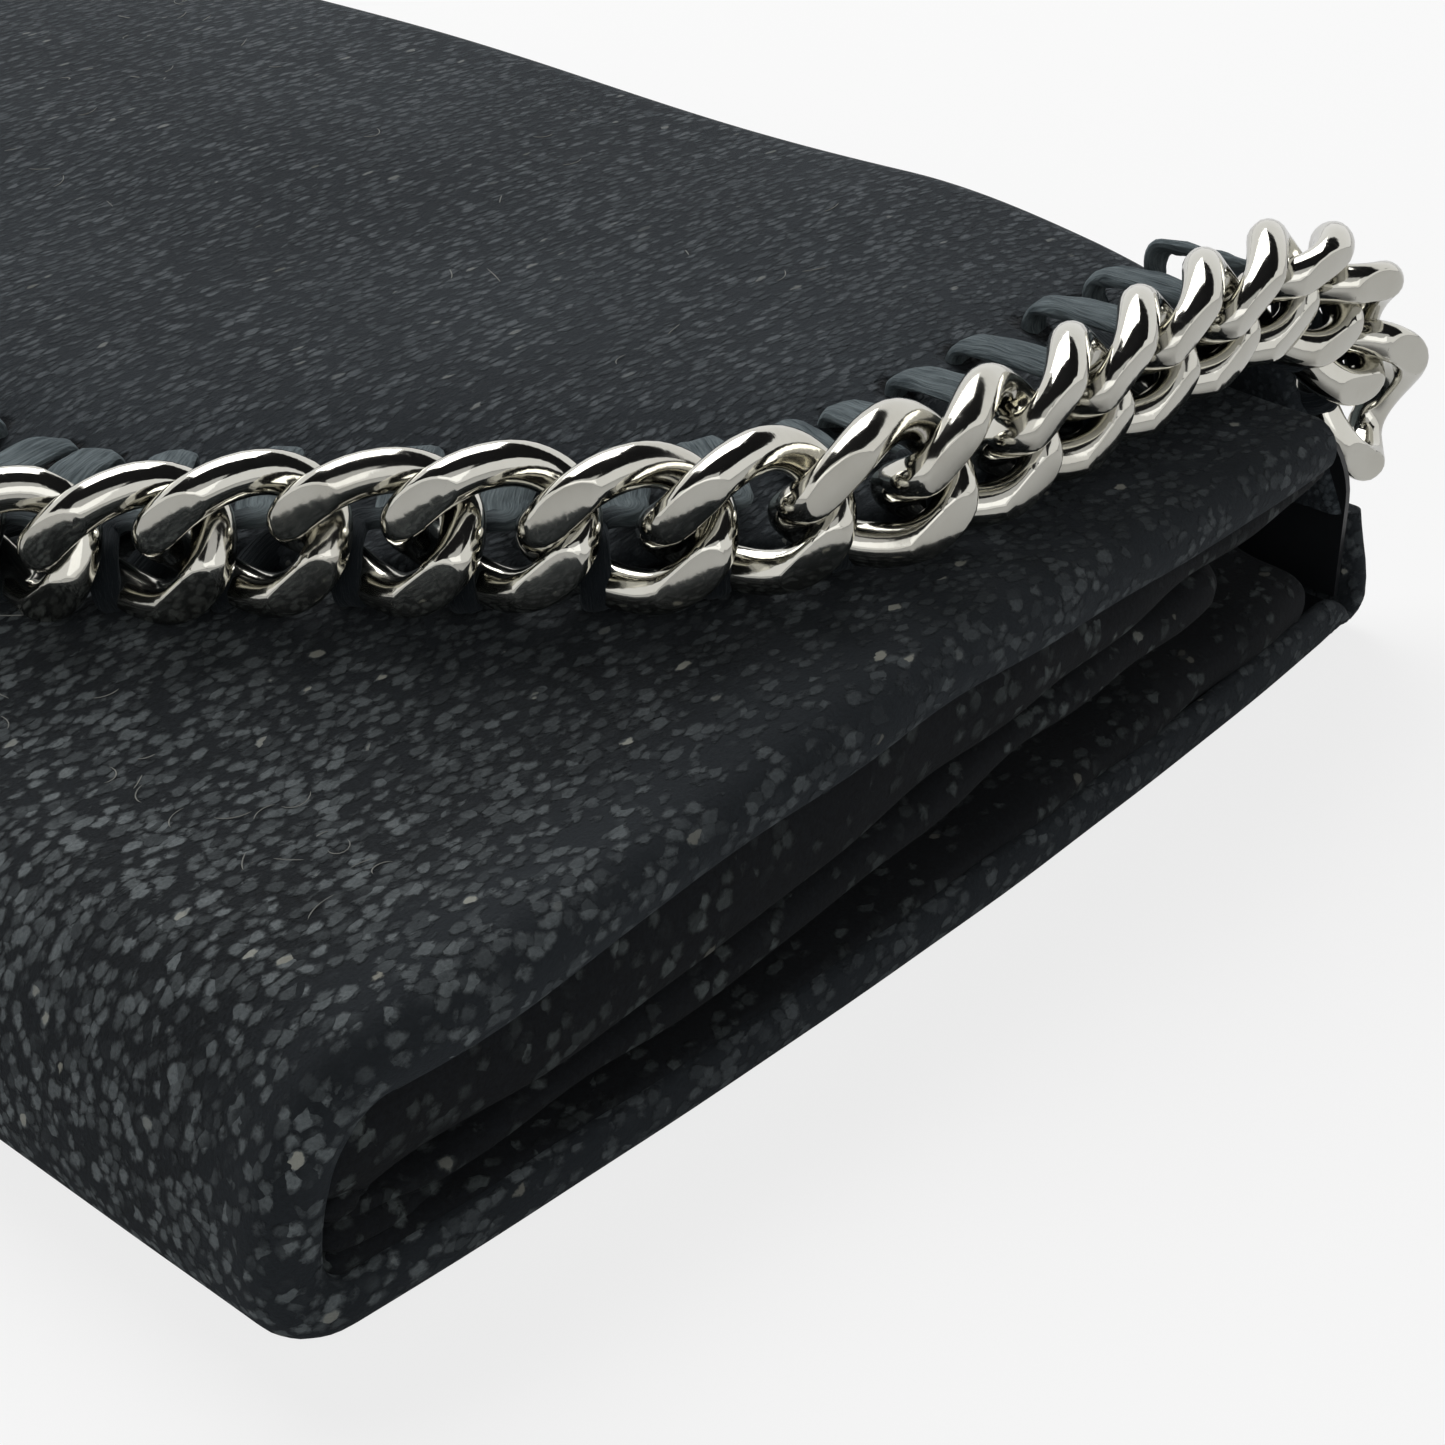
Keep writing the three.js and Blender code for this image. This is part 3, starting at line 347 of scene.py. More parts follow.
def makePiece(name, points, faces, material, body, nodes=(), uv=None, sharpAngle=40):
    # points in mm; doubles are merged, faces turned outwards and edges over sharpAngle kept crisp
    mesh = bpy.data.meshes.new(name)
    faces = faces.tolist() if isinstance(faces, np.ndarray) else faces
    mesh.from_pydata((points.reshape(-1, 3) * mm).tolist(), [], faces)
    if uv is not None:
        corners = np.empty(len(mesh.loops), dtype=np.int32)
        mesh.loops.foreach_get("vertex_index", corners)
        layer = mesh.uv_layers.new(name="UVMap")
        layer.data.foreach_set("uv", uv.reshape(-1, 2)[corners].ravel())
    work = bmesh.new()
    work.from_mesh(mesh)
    bmesh.ops.remove_doubles(work, verts=work.verts, dist=1e-6)
    bmesh.ops.dissolve_degenerate(work, edges=work.edges, dist=1e-7)
    bmesh.ops.recalc_face_normals(work, faces=work.faces)
    work.to_mesh(mesh)
    work.free()
    mesh.polygons.foreach_set("use_smooth", [True] * len(mesh.polygons))
    mesh.set_sharp_from_angle(angle=math.radians(sharpAngle))
    mesh.materials.append(material)
    piece = bpy.data.objects.new(name, mesh)
    bpy.context.scene.collection.objects.link(piece)
    if isinstance(body, tuple):
        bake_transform(piece)
    else:
        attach(piece, body)
    if nodes:
        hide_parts(*nodes)


def gridFaces(rows, columns, start=0, closeRows=False, closeColumns=False):
    # quads between neighbouring rows and columns of a grid of points
    row = np.arange(rows if closeRows else rows - 1)[:, None]
    column = np.arange(columns if closeColumns else columns - 1)[None, :]
    nextRow = (row + 1) % rows
    nextColumn = (column + 1) % columns
    quads = np.stack([row * columns + column, row * columns + nextColumn,
                      nextRow * columns + nextColumn, nextRow * columns + column], axis=-1)
    return quads.reshape(-1, 4) + start


def shellPoints(middle, normal, half):
    # closed sheet: middle surface plus and minus half along its normal, joined round its border;
    # where half is zero on the border the two faces meet in a rounded rim
    rows, columns = half.shape
    outer = middle + normal * half[..., None]
    inner = middle - normal * half[..., None]
    points = np.concatenate([outer.reshape(-1, 3), inner.reshape(-1, 3)])
    count = rows * columns
    ring = np.concatenate([np.arange(columns), np.arange(1, rows) * columns + columns - 1,
                           (rows - 1) * columns + np.arange(columns - 2, -1, -1),
                           np.arange(rows - 2, 0, -1) * columns])
    after = np.roll(ring, -1)
    faces = np.concatenate([gridFaces(rows, columns), gridFaces(rows, columns, count)[:, ::-1],
                            np.stack([after, ring, ring + count, after + count], axis=-1)])
    return points, faces


def rimHalf(distance, half):
    # half thickness of a sheet near a cut border: a quarter circle of radius half
    inside = np.clip(1 - distance / half, 0, 1)
    return half * np.sqrt(1 - inside ** 2)


def rimSteps(half, count=5):
    # distances from a border that draw its quarter circle evenly
    angle = np.linspace(0, math.pi / 2, count + 1)
    return half * (1 - np.cos(angle))


def smooth(value, low, high):
    # smooth step: share is how far value is from low to high, and the step is 3 share^2 - 2 share^3
    share = np.clip((value - low) / (high - low), 0, 1)
    return share * share * (3 - 2 * share)


def ripple(seed, u, v, wavelength, height, count=7):
    # soft waviness: a sum of sine waves of random direction and phase
    draw = np.random.default_rng(seed)
    total = np.zeros(np.broadcast(u, v).shape)
    for direction, phase, stretch in draw.uniform((0, 0, 0.6), (math.pi, 6.28, 1.7), (count, 3)):
        pace = 2 * math.pi / (wavelength * stretch)
        total = total + np.sin(pace * (u * math.cos(direction) + v * math.sin(direction)) + phase)
    return total * height / math.sqrt(count)


def unit(vectors):
    return vectors / np.linalg.norm(vectors, axis=-1, keepdims=True)


# sizes shared by the pieces, in mm

wallet = {"halfLength": 95, "halfDepth": 50, "noseHeight": 17, "mouthHeight": 22.5, "mouthY": 38,
          "cover": 1.5, "flapHalf": 88.65, "flapFront": -24.65, "cornerReach": 55.65,
          "cornerDepth": 37.65, "flapThickness": 1.6, "flapUnder": 2.5, "foldRadius": 6,
          "spineMiddle": 49.25, "foldCentreY": 43.25, "foldCentreZ": 19.0, "seamY": 44,
          "seamZ": 9, "noseReach": 8.5, "noseFoot": 5, "endBow": 2.8, "bowMiddle": -8,
          "bowReach": 57, "endDroop": 3.6, "droopFrom": (-8, 38), "spineNarrow": (2.5, 22)}
noseY = -wallet["halfDepth"] + wallet["noseReach"]


def frontHeight(y):
    # outer face of the front panel: a quarter sine from the nose up to the mouth
    share = np.clip((y - noseY) / (wallet["mouthY"] - noseY), 0, 1)
    rise = wallet["mouthHeight"] - wallet["noseHeight"]
    return wallet["noseHeight"] + rise * np.sin(share * math.pi / 2)


def spineHalf(z):
    # half length of the spine: full at its foot, drawn in to the flap's half length at the fold
    narrow = wallet["halfLength"] - wallet["flapHalf"]
    return wallet["halfLength"] - narrow * smooth(z, *wallet["spineNarrow"])


def endBow(y):
    # the ends bow outwards, most a little in front of the middle
    fromMiddle = (y - wallet["bowMiddle"]) / wallet["bowReach"]
    return wallet["endBow"] * np.clip(1 - fromMiddle ** 2, 0, 1)


# cover of the body

coverValues = {"rollRadius": 1.8, "rollTurn": 135, "rollEase": 1.5, "rollFade": 8,
               "spacing": 2.2, "wave": 0.22, "waveLength": 38, "edgeWave": 0.25,
               "edgeLength": 17, "edgeFrom": (84, 94), "liftFrom": (1.5, 6), "mouthReach": 4.2,
               "mouthFrom": (8, 38), "sinkFrom": (58, 94), "sinkRise": (6, 16),
               "rearCorner": 2.6, "seamFade": 4}


def endSink(x, y, z):
    # the front panel sinks towards the ends near its mouth, and reaches further back there
    v = coverValues
    share = smooth(np.abs(x), *v["sinkFrom"]) * smooth(z, *v["sinkRise"])
    return np.stack([0 * x, v["mouthReach"] * share * smooth(y, *v["mouthFrom"]),
                     -wallet["endDroop"] * share * smooth(y, *wallet["droopFrom"])], axis=-1)


def coverColumns(half):
    # distances from the end border: rim, roll, then out to the middle of the wallet; the second
    # value is the distance where the roll ends
    rim = rimSteps(half)
    rolled = coverValues["rollRadius"] * math.radians(coverValues["rollTurn"]) \
        + coverValues["rollEase"]
    roll = np.linspace(rim[-1], rolled, 12)[1:]
    reach = wallet["halfLength"] + 1
    count = int(reach / coverValues["spacing"])
    flat = rolled + (reach - rolled) * np.linspace(0, 1, count)[1:]
    return np.concatenate([rim, roll, flat]), rolled


def bothEnds(right, left):
    # columns from the right end to the left one, with the middle column once
    return np.concatenate([right, left[:, -2::-1]], axis=1)


def coverSheet(y, z, normalY, normalZ, endHalf, rollTurn, edgeDistance, waveAt):
    # sheet along a profile, its ends rolled inwards: at distance s from the end border the
    # turn is rollTurn - s / radius, x = start + radius sin(turn), depth = radius (1 - cos(turn))
    half = wallet["cover"] / 2
    radius = coverValues["rollRadius"]
    turnEnd = np.radians(rollTurn)[:, None]
    reach = np.sin(np.minimum(turnEnd, math.pi / 2))
    start = endHalf[:, None] - (radius + half) * reach
    steps, rolled = coverColumns(half)
    length = start + radius * turnEnd
    distance = np.where(steps[None, :] <= rolled, steps[None, :],
                        rolled + (length - rolled) * (steps[None, :] - rolled)
                        / (steps[-1] - rolled))
    turn = np.clip(turnEnd - distance / radius, 0, None)
    past = np.clip(distance - radius * turnEnd, 0, None)
    x = start + radius * np.sin(turn) - past
    depth = half + radius * (1 - np.cos(turn))
    point = np.stack([x, y[:, None] - depth * normalY[:, None],
                      z[:, None] - depth * normalZ[:, None]], axis=-1)
    outward = np.stack([np.sin(turn), np.cos(turn) * normalY[:, None],
                        np.cos(turn) * normalZ[:, None]], axis=-1)
    middle = bothEnds(point, point * (-1, 1, 1))
    normal = bothEnds(outward, outward * (-1, 1, 1))
    border = np.minimum(bothEnds(distance, distance), edgeDistance[:, None])
    thickness = rimHalf(border, half)
    wave = waveAt(middle[..., 0], middle[..., 1], middle[..., 2])
    middle = middle + normal * wave[..., None]
    return middle + endSink(*np.moveaxis(middle, -1, 0)), normal, thickness


def coverWave(x, y, z):
    # low waves of soft leather, held flat on the underside, with a livelier end edge
    lift = smooth(z, *coverValues["liftFrom"])
    ends = smooth(np.abs(x), *coverValues["edgeFrom"])
    soft = ripple(3, x, y * 1.3, coverValues["waveLength"], coverValues["wave"])
    edge = ripple(5, y, z * 0.6, coverValues["edgeLength"], coverValues["edgeWave"]) * ends
    return lift * (soft - 0.15) + edge * 0.6 * smooth(z, 0.5, 4)


farFromEdge = 99.0  # distance given to a row that is nowhere near a cut border


def bodyProfile():
    # underside from the seam to the nose, round the nose, and back along the front panel; the
    # nose is a quarter circle at its foot and a longer quarter ellipse above it
    half = wallet["cover"] / 2
    foot, reach = wallet["noseFoot"], wallet["noseReach"]
    footY = foot - wallet["halfDepth"]
    under = np.linspace(wallet["seamY"], footY, 44)[:-1]
    low = np.linspace(-math.pi / 2, -math.pi, 12)[:-1]
    high = np.linspace(math.pi, math.pi / 2, 20)
    front = np.linspace(noseY, wallet["mouthY"] - half, 42)[1:]
    rim = wallet["mouthY"] - rimSteps(half)[::-1][1:]
    top = np.concatenate([front, rim])
    slope = np.gradient(frontHeight(top), top)
    rise = wallet["noseHeight"] - foot
    y = np.concatenate([under, footY + foot * np.cos(low), noseY + reach * np.cos(high), top])
    z = np.concatenate([0 * under, foot + foot * np.sin(low), foot + rise * np.sin(high),
                        frontHeight(top)])
    highNormal = unit(np.stack([np.cos(high) / reach, np.sin(high) / rise], axis=-1))
    normalY = np.concatenate([0 * under, np.cos(low), highNormal[:, 0],
                              -slope / np.hypot(1, slope)])
    normalZ = np.concatenate([0 * under - 1, np.sin(low), highNormal[:, 1],
                              1 / np.hypot(1, slope)])
    far = np.full(len(under) + len(low) + len(high), farFromEdge)
    edge = np.concatenate([far, wallet["mouthY"] - top])
    return y, z, normalY, normalZ, edge


y, z, normalY, normalZ, edge = bodyProfile()
middle, normal, thickness = coverSheet(y, z, normalY, normalZ, wallet["halfLength"] + endBow(y),
                                       0 * y + coverValues["rollTurn"], edge, coverWave)
points, faces = shellPoints(middle, normal, thickness)
makePiece("bodyCover", points, faces, suede, "body", ["body_cover"])


def spineFootProfile():
    # underside behind the seam, round the rear corner and up the spine to the upper seam
    corner = coverValues["rearCorner"]
    cornerY = wallet["halfDepth"] - corner
    under = np.linspace(wallet["seamY"], cornerY, 5)[:-1]
    turn = np.linspace(-math.pi / 2, 0, 9)
    rise = np.linspace(corner, wallet["seamZ"], 6)[1:]
    y = np.concatenate([under, cornerY + corner * np.cos(turn), 0 * rise + wallet["halfDepth"]])
    z = np.concatenate([0 * under, corner + corner * np.sin(turn), rise])
    normalY = np.concatenate([0 * under, np.cos(turn), 0 * rise + 1])
    normalZ = np.concatenate([0 * under - 1, np.sin(turn), 0 * rise])
    flat = cornerY - wallet["seamY"]
    walk = np.concatenate([under - wallet["seamY"], flat + corner * (turn + math.pi / 2),
                           flat + corner * math.pi / 2 + rise - corner])
    rollTurn = coverValues["rollTurn"] * (1 - smooth(walk, 0, coverValues["rollFade"]))
    return y, z, normalY, normalZ, rollTurn


def spineWave(x, y, z):
    # the cover's waves, faded out towards the spine
    return coverWave(x, y, 0 * z) * smooth(wallet["halfDepth"] - 1 - y, 0, coverValues["seamFade"])


y, z, normalY, normalZ, rollTurn = spineFootProfile()
middle, normal, thickness = coverSheet(y, z, normalY, normalZ, spineHalf(z) + endBow(y),
                                       rollTurn, 0 * y + farFromEdge, spineWave)
points, faces = shellPoints(middle, normal, thickness)
makePiece("spineFoot", points, faces, suede,
          ("body", "spine", (0, 47.5 * mm, 0.3 * mm), (0, 49.9 * mm, 3.6 * mm)),
          ["spine_cover"])
print("body cover made")


# flap

flapValues = {"rimWave": 0.3, "wave": 0.28, "waveLength": 46, "slotDip": 0.45, "slotInset": 8.2,
              "press": 0.3, "rimDroop": 1.4, "rimReach": 16, "endDroop": 3.2,
              "endFrom": (56, 88), "overSteps": 160, "tail": 3, "creaseUp": 8.9}


def flapProfile():
    # middle line of the flap from its front edge over the front panel, round the fold and down
    y = np.linspace(wallet["flapFront"], wallet["foldCentreY"], flapValues["overSteps"])
    over = np.stack([y, frontHeight(y) + wallet["flapUnder"]], axis=-1)
    turn = np.linspace(math.pi / 2, 0, 40)[1:]
    fold = np.stack([wallet["foldCentreY"] + wallet["foldRadius"] * np.cos(turn),
                     wallet["foldCentreZ"] + wallet["foldRadius"] * np.sin(turn)], axis=-1)
    z = np.linspace(wallet["foldCentreZ"], wallet["seamZ"] - flapValues["tail"], 30)[1:]
    down = np.stack([0 * z + wallet["spineMiddle"], z], axis=-1)
    line = np.concatenate([over, fold, down])
    q = np.concatenate([[0], np.cumsum(np.hypot(*np.diff(line, axis=0).T))])
    return q, line, unit(np.gradient(line, q, axis=0))


profileQ, profileLine, profileTangent = flapProfile()
seamQ = profileQ[-1] - flapValues["tail"]
creaseQ = seamQ - flapValues["creaseUp"]
foldQ = profileQ[flapValues["overSteps"] - 1]


def bend(x, q, height):
    # flat pattern to space: x stays, q runs along the profile, height stands on its normal
    y = np.interp(q, profileQ, profileLine[:, 0])
    z = np.interp(q, profileQ, profileLine[:, 1])
    tangentY = np.interp(q, profileQ, profileTangent[:, 0])
    tangentZ = np.interp(q, profileQ, profileTangent[:, 1])
    before = np.minimum(q, 0)
    return np.stack(np.broadcast_arrays(x, y - height * tangentZ + before * tangentY,
                                        z + height * tangentY + before * tangentZ), axis=-1)


def flapHalfWidth(q):
    # quarter ellipse at the front corners, then straight, then out along the spine
    share = 1 - np.clip(q / wallet["cornerDepth"], 0, 1)
    front = wallet["flapHalf"] - wallet["cornerReach"] * (1 - np.sqrt(1 - share ** 2))
    z = np.interp(q, profileQ, profileLine[:, 1])
    past = smooth(q, foldQ, foldQ + 5)
    return front + (spineHalf(z) + endBow(49.25) - wallet["flapHalf"]) * past


# path of the chain round the flap

chainValues = {"links": 46, "standoff": 2.65, "lift": 2.5, "turnRadius": 17,
               "turnInset": 14, "turnAngle": 72, "wire": 2.6, "width": 9.8, "twist": 38,
               "span": 9.7, "facet": 2.3, "twistSpan": 3.55, "pairStretch": 0.9,
               "sideLean": -13, "bulge": 6.0, "sag": 1.2, "slackFrom": 70, "slackLean": -16}


def frontSlack(route):
    # in the middle of the front the chain hangs a little away from the flap
    return smooth(chainValues["slackFrom"] - np.abs(route[:, 0]), 0, 20) * (route[:, 1] < 0)


def chainRoute():
    # one side is: turn down at the rear, straight side, corner arc; then the front; then mirrored
    half = wallet["flapHalf"] + chainValues["standoff"]
    reach = wallet["cornerReach"] + chainValues["standoff"]
    deep = wallet["cornerDepth"] + chainValues["standoff"]
    cornerY = wallet["flapFront"] + wallet["cornerDepth"]
    turnY = wallet["halfDepth"] - chainValues["turnInset"]
    radius = chainValues["turnRadius"]

    def height(y):
        return frontHeight(np.maximum(y, wallet["flapFront"])) + wallet["flapUnder"] \
            + chainValues["lift"]

    angle = np.radians(np.linspace(chainValues["turnAngle"], 0, 60, endpoint=False))
    sideHeight = wallet["mouthHeight"] + wallet["flapUnder"] + chainValues["lift"]
    turn = np.stack([0 * angle + half, turnY + radius * np.sin(angle),
                     sideHeight - radius * (1 - np.cos(angle))], axis=-1)
    y = np.linspace(turnY, cornerY, 120, endpoint=False)
    side = np.stack([0 * y + half, y, height(y)], axis=-1)
    angle = np.linspace(0, math.pi / 2, 240)
    y = cornerY - deep * np.sin(angle)
    arc = np.stack([wallet["flapHalf"] - wallet["cornerReach"] + reach * np.cos(angle), y,
                    height(y)], axis=-1)
    right = np.concatenate([turn, side, arc])
    x = np.linspace(arc[-1, 0], -arc[-1, 0], 400)[1:-1]
    front = np.stack([x, 0 * x + arc[-1, 1], 0 * x + arc[-1, 2]], axis=-1)
    route = np.concatenate([right, front, right[::-1] * (-1, 1, 1)])
    slack = frontSlack(route)
    route[:, 1] -= chainValues["bulge"] * slack
    route[:, 2] -= chainValues["sag"] * slack
    return np.concatenate([[0], np.cumsum(np.linalg.norm(np.diff(route, axis=0), axis=1))]), route


routeDistance, route = chainRoute()
routeAlong = unit(np.gradient(route, routeDistance, axis=0))
pitch = routeDistance[-1] / (chainValues["links"] - 1)
linkIndex = np.arange(chainValues["links"])
# the two links of a pair are further apart than neighbours of two pairs, by pairStretch
linkAt = np.clip(linkIndex * pitch + np.where(linkIndex % 2 == 0, -1, 1)
                 * chainValues["pairStretch"] / 4, 0, routeDistance[-1])


def onRoute(values, distance):
    return np.stack([np.interp(distance, routeDistance, values[:, k]) for k in range(3)], axis=-1)


def chainLean(distance):
    # tops of the links lean outwards along the sides and stand upright round the front
    y = np.interp(distance, routeDistance, route[:, 1])
    slack = np.interp(distance, routeDistance, frontSlack(route))
    return chainValues["sideLean"] * smooth(y, -12, 18) + chainValues["slackLean"] * slack


def chainFrame(distance, lean):
    # along the route; outward is level and square to it; facing is outward tipped by the lean
    centre = onRoute(route, distance)
    along = unit(onRoute(routeAlong, distance))
    outward = unit(np.cross((0, 0, 1), along))
    level = unit(np.cross(outward, along))
    turn = np.radians(lean)[..., None]
    facing = outward * np.cos(turn) - level * np.sin(turn)
    across = unit(np.cross(facing, along))
    return centre, along, outward, facing, across


def footOf(distance):
    # flat-pattern place of the chain: nearest point of the profile, or straight above the front
    centre = onRoute(route, distance)
    away = np.hypot(centre[:, None, 1] - profileLine[None, :, 0],
                    centre[:, None, 2] - profileLine[None, :, 1])
    q = profileQ[np.argmin(away, axis=1)]
    flat = centre[:, 1] - wallet["flapFront"]
    return np.stack([centre[:, 0], np.where(flat < wallet["cornerDepth"], flat, q)], axis=-1)


sampleAt = np.linspace(0, routeDistance[-1], 900)
sampleFoot = footOf(sampleAt)


def borderPlace(x, q):
    # for each point of the flat pattern: the link count along the chain, and the distance from it
    flatX, flatQ = x.ravel(), q.ravel()
    count = np.empty(len(flatX))
    distance = np.empty(len(flatX))
    for first in range(0, len(flatX), 4000):
        part = slice(first, first + 4000)
        away = np.hypot(flatX[part, None] - sampleFoot[None, :, 0],
                        flatQ[part, None] - sampleFoot[None, :, 1])
        nearest = np.argmin(away, axis=1)
        count[part] = np.interp(sampleAt[nearest], linkAt, linkIndex)
        distance[part] = away[np.arange(len(nearest)), nearest]
    return count.reshape(x.shape), distance.reshape(x.shape) - chainValues["standoff"]


def flapHeight(x, q, inset):
    # height of the flap over its profile: soft waves, a drooping rim, ends that droop at the fold
    v = flapValues
    wave = ripple(11, x, q * 1.2, v["waveLength"], v["wave"]) * smooth(creaseQ - q, -2, 8)
    atFold = smooth(q, foldQ - 22, foldQ + 2) * smooth(seamQ - q, 2, 12)
    rim = v["rimDroop"] * smooth(v["rimReach"] - inset, 0, 14) * (1 - 0.6 * atFold)
    return wave - rim - v["endDroop"] * smooth(np.abs(x), *v["endFrom"]) * atFold


def flapSheet():
    # rows run along the profile, dense round the front corners; columns share out the half width
    corner, deep = wallet["cornerReach"], wallet["cornerDepth"]
    half = wallet["flapThickness"] / 2
    front = deep * (1 - np.cos(np.radians(np.linspace(0, 90, 64))))
    back = np.linspace(deep, seamQ, 66)[1:]
    rows = np.concatenate([front, back])
    rim = rimSteps(half)
    band = 17  # mm of finer columns along the rim, where the slots are
    near = np.linspace(half, band, 24)[1:]
    inner = band + (wallet["flapHalf"] - band) * np.linspace(0, 1, 62)[1:]
    inset = np.concatenate([rim, near, inner]) / wallet["flapHalf"]
    side = 1 - inset
    share = np.concatenate([side, -side[-2::-1]])
    width = flapHalfWidth(rows)
    x = share[None, :] * width[:, None]
    q = np.broadcast_to(rows[:, None], x.shape)
    inCorner = np.clip(np.abs(x) - (wallet["flapHalf"] - corner), 0, None) / corner
    ahead = np.clip(1 - q / deep, 0, None)
    reach = np.hypot(inCorner, ahead)
    slope = np.hypot(inCorner / corner, ahead / deep) / np.maximum(reach, 1e-6)
    fromCorner = (1 - reach) / np.maximum(slope, 1e-6)
    fromSide = width[:, None] - np.abs(x)
    border = np.clip(np.where(q < deep, np.minimum(fromCorner, fromSide + 0.4 * q), fromSide),
                     0, None)
    count, inset = borderPlace(x, q)
    away = np.abs((count + 0.5) % 1 - 0.5) * pitch
    dip = np.exp(-(away / 1.7) ** 2) * np.exp(-((inset - flapValues["slotInset"]) / 2.2) ** 2)
    press = np.exp(-(away / 1.9) ** 2) * smooth(9 - inset, 0, 2)
    rimWave = ripple(13, count * pitch, 0 * q, 9, flapValues["rimWave"]) * smooth(6 - inset, 0, 6)
    fade = smooth(creaseQ - q, -2, 8)
    height = flapHeight(x, q, inset) \
        + (rimWave - flapValues["slotDip"] * dip - flapValues["press"] * press) * fade
    middle = bend(x, q, height)
    normal = unit(np.cross(np.gradient(middle, axis=1), np.gradient(middle, axis=0)))
    normal = normal * np.sign(np.sum(normal * (bend(x, q, height + 1) - middle), axis=-1,
                                     keepdims=True))
    thickness = rimHalf(border, half) * (1 - 0.0625 * smooth(q, creaseQ, seamQ))
    uv = np.stack([count, inset], axis=-1)
    return middle, normal, thickness, np.concatenate([uv.reshape(-1, 2), uv.reshape(-1, 2)])


middle, normal, thickness, uv = flapSheet()
points, faces = shellPoints(middle, normal, thickness)
makePiece("flapCover", points, faces, flapSuede,
          ("spine", "flap", (0, 49.25 * mm, 14.5 * mm), (0, 49.25 * mm, 19 * mm)),
          ["flap_cover"], uv)
print("flap made")


# bellows gussets

gussetValues = {"half": 0.45, "front": -46.2, "rear": 41.5, "inset": 1.5, "depth": 8.5,
                "clear": 3.0, "wave": 0.22, "waveLength": 16}


def noseLimits(y):
    # highest and lowest place inside the nose at y, as the cover's profile has them
    reach, foot = wallet["noseReach"], wallet["noseFoot"]
    ahead = np.clip((noseY - y) / reach, 0, 1)
    high = foot + (wallet["noseHeight"] - foot) * np.sqrt(1 - ahead ** 2)
    low = foot - foot * np.sqrt(1 - np.clip((foot - wallet["halfDepth"] - y) / foot, 0, 1) ** 2)
    return np.where(y < noseY, high, frontHeight(y)), low


def gussetSection(y):
    # outline points (x, z) of the folded end at each y, from under the front panel to the bottom:
    # upper band, valley, finger, valley, lower band
    high, low = noseLimits(y)
    v = gussetValues
    top = high - wallet["endDroop"] * smooth(y, *wallet["droopFrom"]) - v["clear"]
    bottom = low + v["clear"]
    lipZ = np.interp(y, (-46, -43, -26, -1.6, 17.6, 44), (8.0, 7.4, 8.9, 11.7, 13.1, 14.6))
    fingerTop = np.interp(y, (-46, -38.7, -18.4, 7.7, 28.5), (7.2, 6.4, 8.3, 11.0, 12.2))
    fingerLow = np.interp(y, (-46, -38.7, -18.4, 8, 33.8), (6.4, 4.9, 5.8, 8.6, 9.6))
    lowZ = np.interp(y, (-46, -38, -10.1, 18.6, 44), (5.6, 4.2, 4.4, 5.7, 6.9))
    face = wallet["halfLength"] + endBow(y) - v["inset"]
    tip = face - 0.5 - v["depth"] * smooth(y, 29, 37)
    upperValley = face - v["depth"] * smooth(y, -45, -37)
    lowerValley = face - v["depth"] * smooth(y, -43, -30)
    outline = [
        (face - 3.5, top + 0.6), (face - 1.1, top + 0.3),
        (face + 0.2, top * 0.72 + lipZ * 0.28), (face + 0.4, top * 0.35 + lipZ * 0.65),
        (face - 0.6, lipZ + 0.25), ((upperValley + face) / 2, lipZ - 0.1),
        (upperValley, (lipZ + fingerTop) / 2),
        ((upperValley + tip) / 2, fingerTop + 0.1), (tip - 0.8, fingerTop - 0.3),
        (tip, (fingerTop + fingerLow) / 2),
        (tip - 0.8, fingerLow + 0.3), ((lowerValley + tip) / 2, fingerLow - 0.1),
        (lowerValley, (fingerLow + lowZ) / 2), ((lowerValley + face) / 2, lowZ + 0.1),
        (face - 0.7, lowZ - 0.3), (face + 0.2, lowZ * 0.6 + bottom * 0.4),
        (face - 0.6, bottom), (face - 3.0, bottom - 0.4)]
    return np.stack([np.stack(np.broadcast_arrays(x, z), axis=-1) for x, z in outline], axis=1)


def splineAlong(controls, samples):
    # Catmull-Rom curve through the controls on axis 1
    count = controls.shape[1]
    padded = np.concatenate([2 * controls[:, :1] - controls[:, 1:2], controls,
                             2 * controls[:, -1:] - controls[:, -2:-1]], axis=1)
    place = np.linspace(0, count - 1, samples)
    index = np.minimum(place.astype(int), count - 2)
    t = (place - index)[None, :, None]
    p0, p1, p2, p3 = (padded[:, index + k] for k in range(4))
    return 0.5 * (2 * p1 + (p2 - p0) * t + (2 * p0 - 5 * p1 + 4 * p2 - p3) * t ** 2
                  + (3 * p1 - p0 - 3 * p2 + p3) * t ** 3)


